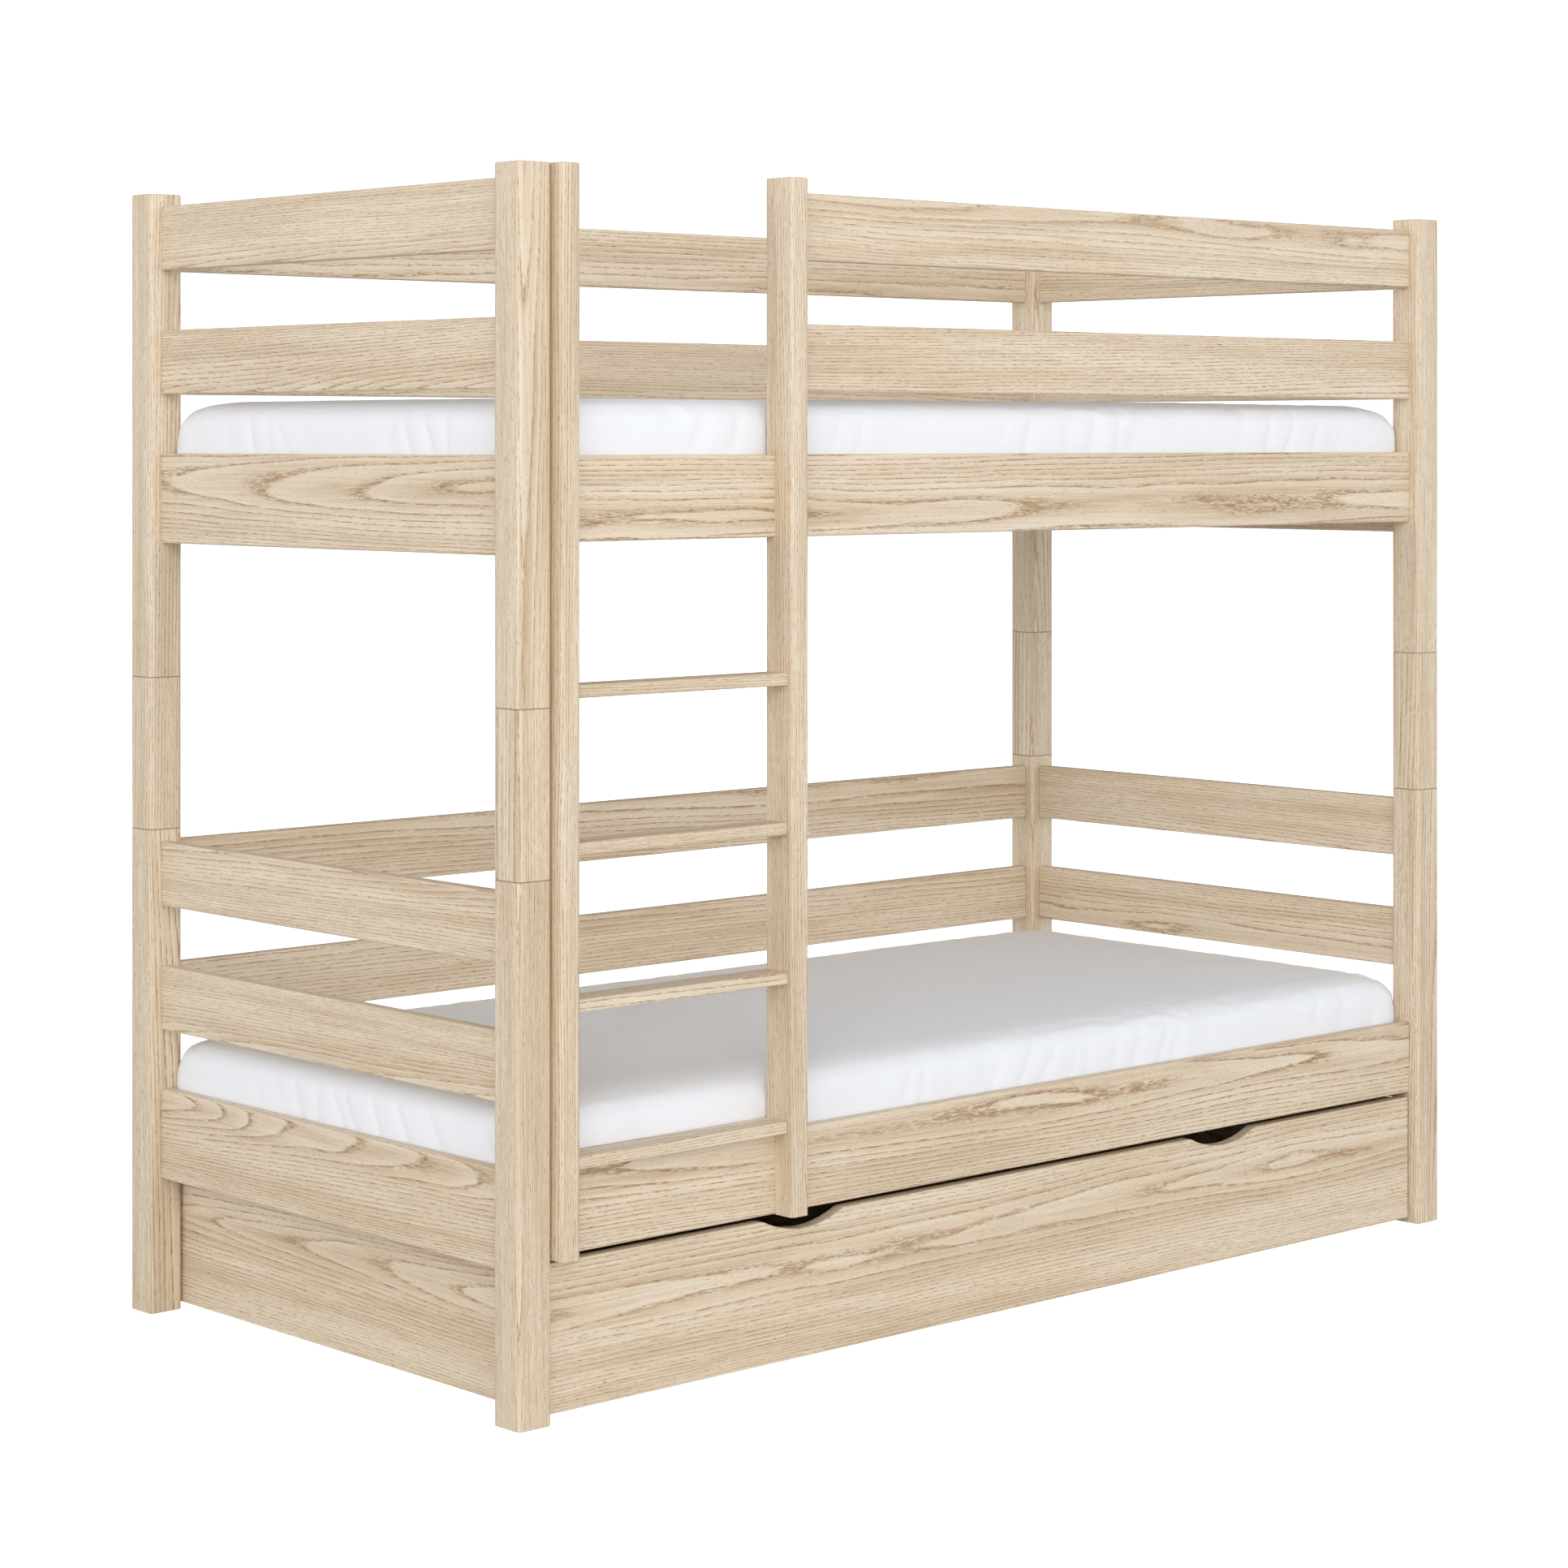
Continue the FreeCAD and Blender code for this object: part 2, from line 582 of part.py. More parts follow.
def castor_wheel(x, y):
    """A wheel with a rounded tread, a dished web and a longer hub, bored for its axle."""
    tread = rod(wheel_radius, Vector(x - wheel_width / 2, y, wheel_radius), X, wheel_width)
    tread = tread.makeFillet(wheel_rim_radius, [e for e in tread.Edges if len(e.Vertexes) == 1])
    for start, direction in ((x - wheel_width / 2, X), (x + wheel_width / 2, -X)):
        dish = rod(wheel_radius - wheel_rim, Vector(start, y, wheel_radius), direction, wheel_dish_depth)
        tread = tread.cut(dish)
    hub = rod(hub_radius, Vector(x - hub_width / 2, y, wheel_radius), X, hub_width)
    bore = rod(axle_radius + axle_clearance, Vector(x - hub_width, y, wheel_radius), X, 2 * hub_width)
    return tread.fuse(hub).cut(bore).removeSplitter()


# ---- build and export ----
def drilled(shape, tools):
    """A node's solids, each with the bores that reach it cut out."""
    pieces = []
    for solid in shape.Solids:
        box = solid.BoundBox
        near = [t for t in tools if box.intersect(t.BoundBox)]
        cut = solid.cut(Part.makeCompound(near)) if near else solid
        pieces.extend(cut.Solids)
    return pieces[0] if len(pieces) == 1 else Part.makeCompound(pieces)


def main():
    make_posts()
    make_end_pieces()
    make_side_pieces()
    make_ladder()
    make_bases()
    make_drawer()
    os.makedirs("parts", exist_ok=True)
    for node, pieces in hardware.items():
        solids[node] = Part.makeCompound(pieces)
    for node, shape in sorted(solids.items()):
        drilled(shape, bores.get(node, [])).exportStep(f"parts/{node}.step")
    print(len(solids), "nodes, overall height", total_height)


main()
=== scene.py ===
"""The finished look of an oak bunk bed: timber, hardware, castors, mattresses in fitted sheets, stage."""
import json
import math
import random

import bmesh
import bpy
import mathutils.noise
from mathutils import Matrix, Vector
from mathutils.bvhtree import BVHTree


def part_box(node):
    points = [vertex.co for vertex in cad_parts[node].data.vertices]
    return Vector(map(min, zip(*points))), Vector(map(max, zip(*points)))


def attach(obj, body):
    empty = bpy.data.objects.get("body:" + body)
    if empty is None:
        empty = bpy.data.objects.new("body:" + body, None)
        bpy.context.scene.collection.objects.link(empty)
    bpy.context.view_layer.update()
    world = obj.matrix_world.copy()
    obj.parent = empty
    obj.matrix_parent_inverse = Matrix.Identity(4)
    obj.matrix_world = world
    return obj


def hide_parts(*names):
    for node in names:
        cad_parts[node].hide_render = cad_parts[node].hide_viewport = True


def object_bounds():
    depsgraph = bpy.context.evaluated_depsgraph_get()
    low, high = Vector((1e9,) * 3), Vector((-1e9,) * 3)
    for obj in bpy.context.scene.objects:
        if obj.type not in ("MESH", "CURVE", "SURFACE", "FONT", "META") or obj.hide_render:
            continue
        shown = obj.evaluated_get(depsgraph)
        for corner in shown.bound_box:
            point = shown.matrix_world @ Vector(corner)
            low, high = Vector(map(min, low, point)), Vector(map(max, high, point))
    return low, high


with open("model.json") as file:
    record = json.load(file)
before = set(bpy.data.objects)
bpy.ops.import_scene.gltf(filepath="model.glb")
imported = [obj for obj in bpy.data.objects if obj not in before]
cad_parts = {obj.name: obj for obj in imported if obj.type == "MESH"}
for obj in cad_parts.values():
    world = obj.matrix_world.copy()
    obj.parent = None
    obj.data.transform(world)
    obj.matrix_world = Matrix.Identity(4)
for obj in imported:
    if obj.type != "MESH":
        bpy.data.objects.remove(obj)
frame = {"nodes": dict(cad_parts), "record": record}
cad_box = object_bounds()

bl_info = {
    "name": "Bunk bed finish",
    "version": (1, 0, 0),
    "blender": (4, 5, 0),
    "location": "View3D > Sidebar > Bunk bed",
    "description": "Timber, hardware, mattresses and stage for a bunk bed",
    "category": "Object",
}

MM = 0.001
X_GRAIN, Y_GRAIN, Z_GRAIN = "x", "y", "z"
LOWEST_JOINT = 0.5       # an upright piece that ends above this height meets the next one


# ---- settings ----
def tint(name, description, default):
    return bpy.props.FloatVectorProperty(name=name, description=description, default=default, subtype="COLOR")


def length(name, description, default, **limits):
    return number(name, description, default, unit="LENGTH", **limits)


def share(name, description, default):
    return number(name, description, default, subtype="FACTOR")


def number(name, description, default, **kind):
    return bpy.props.FloatProperty(name=name, description=description, default=default, **kind)


class TimberSettings(bpy.types.PropertyGroup):
    """Colours and figure of the oak and of the plainer woods inside, and the painted shadow line at the
    joints.
    """
    heart: tint("Heartwood", "Main colour of the oak", (0.750, 0.618, 0.452))
    tan: tint("Tan", "Darker bands and the dashes along the growth rings", (0.480, 0.325, 0.182))
    pale: tint("Pale", "Lighter streaks and the late part of each growth ring", (0.880, 0.780, 0.635))
    pore: tint("Pores", "Short dark dashes of the open pores", (0.360, 0.215, 0.112))
    plain_heart: tint("Plain heartwood", "Main colour of the inside woods", (0.72, 0.57, 0.37))
    plain_tan: tint("Plain tan", "Darker parts of the inside woods", (0.62, 0.45, 0.26))
    plain_pale: tint("Plain pale", "Lighter parts of the inside woods", (0.80, 0.68, 0.48))
    pore_amount: share("Pore amount", "How strongly the pores show in the oak", 0.80)
    ring_width: length("Ring width", "Distance between growth rings", 0.0034, min=0.001)
    pith_depth: length("Pith depth", "Typical distance from a board to its tree's middle", 0.09, min=0.01)
    lean: number("Lean", "How much the tree's middle leans from the board's length", 0.030)
    # Joint line: painted shadow, a darker line at each butting end that stands in for the shade in the
    # joint's gap, with its width, colour and strength
    painted_shadow_line: length("Joint line", "Width of the shaded line where one piece meets another", 0.0009)
    painted_shadow_color: tint("Joint shade", "Colour of the line where one piece meets another", (0.24, 0.17, 0.11))
    painted_shadow_strength: share("Joint strength", "How strongly the joint line shows", 0.55)


class SheetSettings(bpy.types.PropertyGroup):
    """The fitted sheets and what is under them."""
    cloth: tint("Sheet", "Colour of the cotton", (0.918, 0.945, 1.000))
    ticking: tint("Ticking", "Colour of the mattress cover below the sheet", (0.70, 0.70, 0.68))
    thread_color: tint("Sewing thread", "Colour of the stitches", (0.80, 0.81, 0.84))
    thread: length("Thread", "Distance between threads of the weave", 0.0011)
    voxel: length("Voxel", "Mesh size for the cloth simulation", 0.011, min=0.004)
    ease: share("Ease", "How much larger than the mattress the sheet is cut", 0.012)
    move_limit: length("Move limit", "Furthest that the sheet may lift from the mattress", 0.007)
    frames: bpy.props.IntProperty(name="Frames", description="Steps of the simulation", default=16, min=2)
    crown_reach: length("Crown reach", "How far in from the edge the top starts to fall", 0.085)
    crown_fall: length("Crown fall", "How far the top falls at the edge", 0.009)
    crown_power: number("Crown power", "How late the fall of the top sets in", 2.6)
    swell: length("Swell", "How far the soft sides stand out", 0.006)
    post_edge: length("Post edge", "Radius of the posts' edges, which the sides keep clear of", 0.008)
    post_gap: length("Post gap", "Space kept between the sheet and the posts", 0.0015)
    board_gap: length("Board gap", "Space kept between the sheet and the boards", 0.0012)
    soft_stop: length("Soft stop", "Depth over which the boards flatten the sheet's sides", 0.0025)
    crease: length("Crease", "Depth of the creases in the sheet", 0.0034)
    fold_reach: length("Fold reach", "How far the long folds run from a corner", 0.46)
    fold_band: length("Fold band", "Width of the strip along a side that has long folds", 0.24)
    fold_pitch: length("Fold pitch", "From one long fold to the next", 0.043)
    hem_inset: length("Hem inset", "From the mattress's edge to the elastic hem underneath", 0.055)
    hem_rise: length("Hem rise", "Thickness of the elastic hem", 0.0026)
    hem_corner: length("Hem corner", "Radius of the elastic hem at its corners", 0.04)
    pleat: length("Pleat", "Distance between the pleats at the hem", 0.028)
    stitch_pitch: length("Stitch pitch", "From one stitch to the next", 0.005)


class HardwareSettings(bpy.types.PropertyGroup):
    """Screws, plates and castors."""
    shank_share: share("Shank share", "A screw's shank against its head", 0.5)
    recess_share: number("Recess share", "Length of the cross recess against the head's radius", 1.15)
    zinc: tint("Zinc", "Colour of the plated steel", (0.60, 0.61, 0.62))
    tyre: tint("Castor", "Colour of the moulded wheels", (0.020, 0.020, 0.022))


class StageSettings(bpy.types.PropertyGroup):
    """Camera, light and floor."""
    camera_place: bpy.props.FloatVectorProperty(
        name="Camera", description="Where the camera stands", subtype="TRANSLATION",
        default=(-3.8450, -4.1215, 1.2674))
    camera_heading: number("Heading", "Direction of view, turned from the bed's depth towards its length",
                           math.radians(42.394), subtype="ANGLE")
    lens: number("Lens", "Focal length in millimetres", 83.96)
    drop: number("Drop", "Vertical shift of the picture", -0.2193)
    floor: tint("Floor", "Colour of the floor", (0.66, 0.66, 0.66))
    floor_half: length("Floor half", "From the middle of the floor to its edge", 30.0)
    floor_glow: number("Floor glow", "Light that the floor gives to the object", 0.06)
    floor_white: number("Floor white", "Extra brightness of the floor in the picture", 1.7)
    horizon: number("Horizon", "Brightness of the studio near eye level", 2.30)
    zenith: number("Zenith", "Brightness of the studio overhead", 0.55)
    backdrop: number("Backdrop", "Least brightness of the studio in the picture", 1.2)
    side_share: share("Side share", "Brightness of the studio at the sides against the front", 0.66)
    key: number("Key light", "Power of the large soft light", 62.0, unit="POWER")
    key_place: bpy.props.FloatVectorProperty(
        name="Key place", description="Where the large soft light stands", subtype="TRANSLATION",
        default=(-3.4, -4.2, 3.4))


# ---- node trees ----
class Tree:
    """Short calls that build a node tree. A value may be a number, a colour or another node's socket."""

    def __init__(self, tree):
        self.tree = tree

    def put(self, socket, value):
        if isinstance(value, bpy.types.NodeSocket):
            self.tree.links.new(value, socket)
        elif hasattr(value, "__len__") and socket.type == "RGBA" and len(value) == 3:
            socket.default_value = (*value, 1.0)
        else:
            socket.default_value = value

    def node(self, kind, inputs=(), **settings):
        made = self.tree.nodes.new(kind)
        for name, value in settings.items():
            setattr(made, name, value)
        for key, value in dict(inputs).items():
            self.put(made.inputs[key], value)
        return made

    def math(self, operation, a, b=0.0):
        return self.node("ShaderNodeMath", {0: a, 1: b}, operation=operation).outputs[0]

    def times(self, a, b):
        return self.math("MULTIPLY", a, b)

    def plus(self, a, b):
        return self.math("ADD", a, b)

    def minus(self, a, b):
        return self.math("SUBTRACT", a, b)

    def vector(self, operation, a, b):
        return self.node("ShaderNodeVectorMath", {0: a, 1: b}, operation=operation).outputs[0]

    def step(self, value, low, high):
        """0 below low, 1 above high, smooth between."""
        made = self.node("ShaderNodeMapRange", {"Value": value, "From Min": low, "From Max": high},
                         interpolation_type="SMOOTHSTEP")
        return made.outputs["Result"]

    def noise(self, place, scale, detail=1.0, roughness=0.5, output="Fac"):
        """Soft noise, with its own number of waves to the metre in each direction."""
        made = self.node("ShaderNodeTexNoise", {"Vector": self.vector("MULTIPLY", place, scale), "Scale": 1.0,
                                                "Detail": detail, "Roughness": roughness})
        return made.outputs[output]

    def mix(self, factor, a, b, blend="MIX"):
        made = self.node("ShaderNodeMix", data_type="RGBA", blend_type=blend)
        for index, value in ((0, factor), (6, a), (7, b)):
            self.put(made.inputs[index], value)
        return made.outputs[2]

    def object_place(self):
        return self.node("ShaderNodeTexCoord").outputs["Object"]

    def camera_sees(self, amount):
        """An amount for what the camera sees directly, and none for the light that it casts."""
        return self.times(self.node("ShaderNodeLightPath").outputs["Is Camera Ray"], amount)

    def greyed(self, color, grey):
        """A colour made lighter or darker by a factor."""
        return self.mix(1.0, color, self.join(grey, grey, grey), "MULTIPLY")

    def split(self, vector):
        return self.node("ShaderNodeSeparateXYZ", {0: vector}).outputs

    def join(self, x, y, z):
        return self.node("ShaderNodeCombineXYZ", {0: x, 1: y, 2: z}).outputs[0]


def new_group(name, inputs, outputs):
    """A shader node group with named sockets. Returns its tree, its inputs and its output node."""
    group = bpy.data.node_groups.new(name, "ShaderNodeTree")
    for socket_name, kind, default in inputs:
        socket = group.interface.new_socket(name=socket_name, in_out="INPUT", socket_type=kind)
        if default is not None:
            socket.default_value = default
    for socket_name, kind in outputs:
        group.interface.new_socket(name=socket_name, in_out="OUTPUT", socket_type=kind)
    tree = Tree(group)
    return tree, tree.node("NodeGroupInput").outputs, tree.node("NodeGroupOutput").inputs


def group_of(name, make):
    """A node group by name, made the first time that it is asked for."""
    return bpy.data.node_groups.get(name) or make(name)


def centred(tree, place, scale):
    """Soft noise round zero, in three parts."""
    return tree.vector("SUBTRACT", tree.noise(place, scale, detail=2.0, output="Color"), (0.5, 0.5, 0.5))


def make_solid_wood(name):
    """Wood as a solid: growth rings round a leaning pith, pores and fibres along local X."""
    f, v, c = "NodeSocketFloat", "NodeSocketVector", "NodeSocketColor"
    tree, given, out = new_group(
        name,
        (("Position", v, None), ("Pith", v, (0.0, 0.0, -0.09)), ("Lean", f, 0.03), ("Ring Width", f, 0.006),
         ("Heart", c, None), ("Tan", c, None), ("Pale", c, None), ("Pore", c, None),
         ("Pore Amount", f, 0.6), ("Figure", f, 1.0)),
        (("Color", c), ("Roughness", f), ("Height", f)),
    )
    place = given["Position"]
    drift = tree.vector("MULTIPLY", centred(tree, place, (1.0, 7.0, 7.0)), (0.0, 0.018, 0.018))
    ripple = tree.vector("MULTIPLY", centred(tree, place, (4.0, 22.0, 22.0)), (0.0, 0.0034, 0.0034))
    bent = tree.vector("ADD", tree.vector("ADD", place, drift), ripple)
    x, y, z = tree.split(tree.vector("SUBTRACT", bent, given["Pith"]))
    leaning = tree.plus(z, tree.times(x, given["Lean"]))
    radius = tree.math("SQRT", tree.plus(tree.times(y, y), tree.times(leaning, leaning)))
    uneven = tree.noise(tree.join(radius, 0.0, 0.0), (45.0, 45.0, 45.0))
    rings = tree.plus(tree.math("DIVIDE", radius, given["Ring Width"]), tree.times(uneven, 2.4))
    phase = tree.math("FRACT", rings)
    early = tree.times(tree.step(phase, 0.40, 0.0), tree.step(phase, 0.0, 0.08))
    late = tree.step(phase, 0.45, 0.95)
    figure = tree.times(early, given["Figure"])

    line = tree.noise(bent, (6.0, 420.0, 420.0), detail=3.0, roughness=0.65)
    fibre = tree.noise(bent, (14.0, 1100.0, 1100.0), detail=2.0)
    band = tree.noise(bent, (1.4, 34.0, 34.0), detail=2.0)
    broken = tree.noise(bent, (42.0, 330.0, 330.0), detail=1.0)
    fine = tree.noise(bent, (90.0, 1200.0, 1200.0), detail=1.0)
    pore_edge = tree.minus(0.655, tree.times(figure, 0.19))
    pores = tree.step(fine, pore_edge, tree.plus(pore_edge, 0.10))
    dashes = tree.times(figure, tree.step(broken, 0.40, 0.60))

    color = tree.mix(tree.times(tree.step(band, 0.48, 0.68), 0.34), given["Heart"], given["Tan"])
    color = tree.mix(tree.times(tree.step(band, 0.52, 0.32), 0.50), color, given["Pale"])
    color = tree.mix(tree.times(tree.step(line, 0.50, 0.66), 0.30), color, given["Tan"])
    color = tree.mix(tree.times(tree.step(line, 0.50, 0.34), 0.45), color, given["Pale"])
    color = tree.mix(tree.times(late, 0.40), color, given["Pale"])
    color = tree.mix(dashes, color, given["Tan"])
    grey = tree.plus(0.94, tree.times(fibre, 0.12))
    color = tree.greyed(color, grey)
    color = tree.mix(tree.times(pores, given["Pore Amount"]), color, given["Pore"])
    tree.put(out["Color"], color)
    tree.put(out["Roughness"], tree.plus(0.50, tree.times(pores, 0.22)))
    height = tree.minus(tree.times(fibre, 0.35), pores)
    tree.put(out["Height"], height)
    return tree.tree


def make_weave(name):
    """Plain weave on three sets of faces, with thicker threads here and there."""
    f, v, c = "NodeSocketFloat", "NodeSocketVector", "NodeSocketColor"
    tree, given, out = new_group(
        name,
        (("Position", v, None), ("Thread", f, 0.001), ("Cloth", c, None), ("Shade", f, 0.06)),
        (("Color", c), ("Roughness", f), ("Height", f)),
    )
    place = given["Position"]
    x, y, z = tree.split(place)
    turn = tree.math("DIVIDE", math.pi, given["Thread"])
    waves = [tree.math("SINE", tree.times(part, turn)) for part in (x, y, z)]
    facing = tree.split(tree.node("ShaderNodeNewGeometry").outputs["Normal"])
    weights = [tree.times(part, part) for part in facing]
    pairs = ((1, 2, 0), (0, 2, 1), (0, 1, 2))
    weave = 0.0
    for first, second, face in pairs:
        crossing = tree.times(waves[first], waves[second])
        weave = tree.plus(weave, tree.times(crossing, weights[face]))
    slub_x = tree.noise(place, (25.0, 420.0, 420.0), detail=2.0)
    slub_y = tree.noise(place, (420.0, 420.0, 25.0), detail=2.0)
    slub_z = tree.noise(place, (420.0, 25.0, 420.0), detail=2.0)
    slubs = tree.plus(tree.plus(slub_x, slub_y), slub_z)
    cloud = tree.noise(place, (5.0, 5.0, 5.0), detail=3.0)
    tone = tree.plus(tree.times(tree.minus(slubs, 1.5), given["Shade"]),
                     tree.times(tree.minus(cloud, 0.5), 0.03))
    tone = tree.plus(tone, tree.times(weave, 0.012))
    grey = tree.plus(1.0, tone)
    tree.put(out["Color"], tree.greyed(given["Cloth"], grey))
    tree.put(out["Roughness"], tree.plus(0.86, tree.times(tone, 0.5)))
    tree.put(out["Height"], tree.plus(weave, tree.times(slubs, 0.5)))
    return tree.tree


def new_material(name, **constants):
    """An empty node material with a Principled shader whose plain numbers are set on the shader itself."""
    material = bpy.data.materials.new(name)
    material.use_nodes = True
    tree = Tree(material.node_tree)
    shader = material.node_tree.nodes["Principled BSDF"]
    for key, value in constants.items():
        tree.put(shader.inputs[key.replace("_", " ")], value)
    return material, tree, shader


def join_surface(tree, shader, color, roughness, height, strength, distance):
    """Joins a colour, a roughness and the bump of a height to a shader."""
    bump = tree.node("ShaderNodeBump", {"Height": height, "Strength": strength, "Distance": distance})
    for key, value in (("Base Color", color), ("Roughness", roughness), ("Normal", bump.outputs[0])):
        tree.put(shader.inputs[key], value)


def grain_position(tree, grain, shift):
    """Object coordinates with the grain along X, moved so that each piece has its own figure."""
    x, y, z = tree.split(tree.object_place())
    along = {X_GRAIN: (x, y, z), Y_GRAIN: (y, z, x), Z_GRAIN: (z, x, y)}[grain]
    return tree.vector("ADD", tree.join(*along), shift)


def timber(name, grain, rng, low, high, plain=0.0):
    """Oak or, as plain rises to 1, an even pale wood, for a piece that fills a box, with a painted shadow
    line at its butting ends.
    """
    settings = bpy.context.scene.bunk_timber
    material, tree, shader = new_material(name, Specular_IOR_Level=0.32)
    order = {X_GRAIN: (0, 1, 2), Y_GRAIN: (1, 2, 0), Z_GRAIN: (2, 0, 1)}[grain]
    middle = (Vector(low) + Vector(high)) / 2
    local = Vector([middle[index] for index in order])
    shift = Vector((rng.uniform(-9, 9), rng.uniform(-9, 9), rng.uniform(-9, 9)))
    spread = (Vector(high) - Vector(low))
    across = Vector([spread[index] for index in order])
    angle = rng.choice((-1.0, 1.0)) * rng.uniform(0.22, 0.95) + (math.pi / 2 if across.y < across.z else 0.0)
    depth = settings.pith_depth * rng.uniform(0.7, 1.5)
    pith = local + shift + Vector((0.0, math.sin(angle), -math.cos(angle))) * depth
    values = {
        "Position": grain_position(tree, grain, shift),
        "Pith": pith,
        "Lean": settings.lean * rng.uniform(-1.0, 1.0),
        "Ring Width": settings.ring_width * rng.uniform(0.8, 1.25),
        "Heart": [a + (b - a) * plain for a, b in zip(settings.heart, settings.plain_heart)],
        "Tan": [a + (b - a) * plain for a, b in zip(settings.tan, settings.plain_tan)],
        "Pale": [a + (b - a) * plain for a, b in zip(settings.pale, settings.plain_pale)],
        "Pore": settings.pore,
        "Pore Amount": settings.pore_amount * (1.0 - 0.8 * plain),
        "Figure": rng.uniform(0.75, 1.1),
    }
    wood = tree.node("ShaderNodeGroup", values, node_tree=group_of("solid_wood", make_solid_wood)).outputs
    # painted shadow: darkens the wood at each butting end, where the joint's gap lies in shade
    line = painted_shadow_line(tree, grain, order, low, high)
    color = tree.mix(line, wood["Color"], settings.painted_shadow_color)
    join_surface(tree, shader, color, wood["Roughness"], wood["Height"], 0.35, 0.0004)
    return material


def painted_shadow_line(tree, grain, order, low, high):
    """A mask for the painted shadow line at each end of a piece that butts against another one, standing in
    for the shade in the joint's gap.
    """
    settings = bpy.context.scene.bunk_timber
    along = tree.split(tree.object_place())[order[0]]
    masks = []
    for end, inward in ((low[order[0]], 1.0), (high[order[0]], -1.0)):
        free = grain == Z_GRAIN and not LOWEST_JOINT < end < cad_box[1][2] - MM
        if not free:
            depth = tree.times(tree.minus(along, end), inward)
            masks.append(tree.step(depth, settings.painted_shadow_line * 1.5, settings.painted_shadow_line * 0.5))
    if not masks:
        return 0.0
    both = masks[0] if len(masks) == 1 else tree.math("MAXIMUM", masks[0], masks[1])
    return tree.times(both, settings.painted_shadow_strength)


def woven(name, cloth, shade=0.05):
    """Cotton: matt, softly sheened, with its weave in the bump."""
    settings = bpy.context.scene.bunk_sheet
    material, tree, shader = new_material(
        name, Sheen_Weight=0.25, Sheen_Roughness=0.6, Specular_IOR_Level=0.15)
    values = {"Position": tree.object_place(), "Thread": settings.thread, "Cloth": cloth, "Shade": shade}
    weave = tree.node("ShaderNodeGroup", values, node_tree=group_of("plain_weave", make_weave)).outputs
    join_surface(tree, shader, weave["Color"], weave["Roughness"], weave["Height"], 0.25, 0.0003)
    return material


def plated(name, color, streak=180.0):
    """Zinc plated steel with faint mottling."""
    material, tree, shader = new_material(name, Metallic=1.0)
    mottle = tree.noise(tree.object_place(), (streak, streak, streak), detail=4.0)
    grey = tree.plus(0.85, tree.times(mottle, 0.3))
    roughness = tree.plus(0.26, tree.times(mottle, 0.22))
    join_surface(tree, shader, tree.greyed(color, grey), roughness, mottle, 0.08, 0.0003)
    return material


def moulded(name, color):
    """Matt moulded plastic with a fine spark-eroded skin and a little dust."""
    material, tree, shader = new_material(name, Specular_IOR_Level=0.4)
    place = tree.object_place()
    skin = tree.noise(place, (2600.0, 2600.0, 2600.0), detail=2.0)
    dust = tree.noise(place, (60.0, 60.0, 60.0), detail=3.0)
    dusted = tree.mix(tree.times(tree.step(dust, 0.5, 0.8), 0.12), color, (0.30, 0.28, 0.25))
    join_surface(tree, shader, dusted, tree.plus(0.48, tree.times(dust, 0.2)), skin, 0.15, 0.0002)
    return material


# ---- small helpers ----
def paint(node, material):
    """Gives a CAD node's object one material in every slot."""
    piece = frame["nodes"][node]
    if not piece.material_slots:
        piece.data.materials.append(material)
    for slot in piece.material_slots:
        slot.link = "OBJECT"
        slot.material = material


def grain_of(node):
    """Which way the grain of a named timber runs."""
    if "post" in node or "stile" in node:
        return Z_GRAIN
    if "_left_" in node or "_right_" in node or node.startswith("drawer_side") or "slats" in node:
        return Y_GRAIN
    if node == "drawer_bearers":
        return Y_GRAIN
    return X_GRAIN


def slot_of(node):
    """The record's material slot of a node."""
    for part in frame["record"]["subparts"]:
        if part["node"] == node:
            return part["material_slot"]
    raise RuntimeError(f"no slot for {node}")


def new_object(name, data):
    """A loose object at the origin."""
    made = bpy.data.objects.new(name, data)
    bpy.context.scene.collection.objects.link(made)
    return made


def new_piece(name, points, edges=(), faces=()):
    """A loose mesh at the origin."""
    mesh = bpy.data.meshes.new(name)
    mesh.from_pydata([tuple(point) for point in points], edges, faces)
    return new_object(name, mesh)


def join_frame(piece, body, replaced=()):
    """Hands a finished piece to the frame."""
    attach(piece, body)
    if replaced:
        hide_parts(*replaced)
    return piece


# ---- geometry trees ----
def new_geometry_tree(name, inputs):
    """A geometry tree with named inputs after its geometry."""
    group = bpy.data.node_groups.new(name, "GeometryNodeTree")
    group.interface.new_socket(name="Geometry", in_out="INPUT", socket_type="NodeSocketGeometry")
    for socket_name, kind, default in inputs:
        socket = group.interface.new_socket(name=socket_name, in_out="INPUT", socket_type=kind)
        if default is not None:
            socket.default_value = default
    group.interface.new_socket(name="Geometry", in_out="OUTPUT", socket_type="NodeSocketGeometry")
    tree = Tree(group)
    return tree, tree.node("NodeGroupInput").outputs, tree.node("NodeGroupOutput").inputs


def end_tree(tree, out, instances, material):
    """Every tree ends in real geometry that has its material."""
    real = tree.node("GeometryNodeRealizeInstances", {"Geometry": instances}).outputs[0]
    finished = tree.node("GeometryNodeSetMaterial", {"Geometry": real, "Material": material})
    tree.put(out["Geometry"], finished.outputs[0])


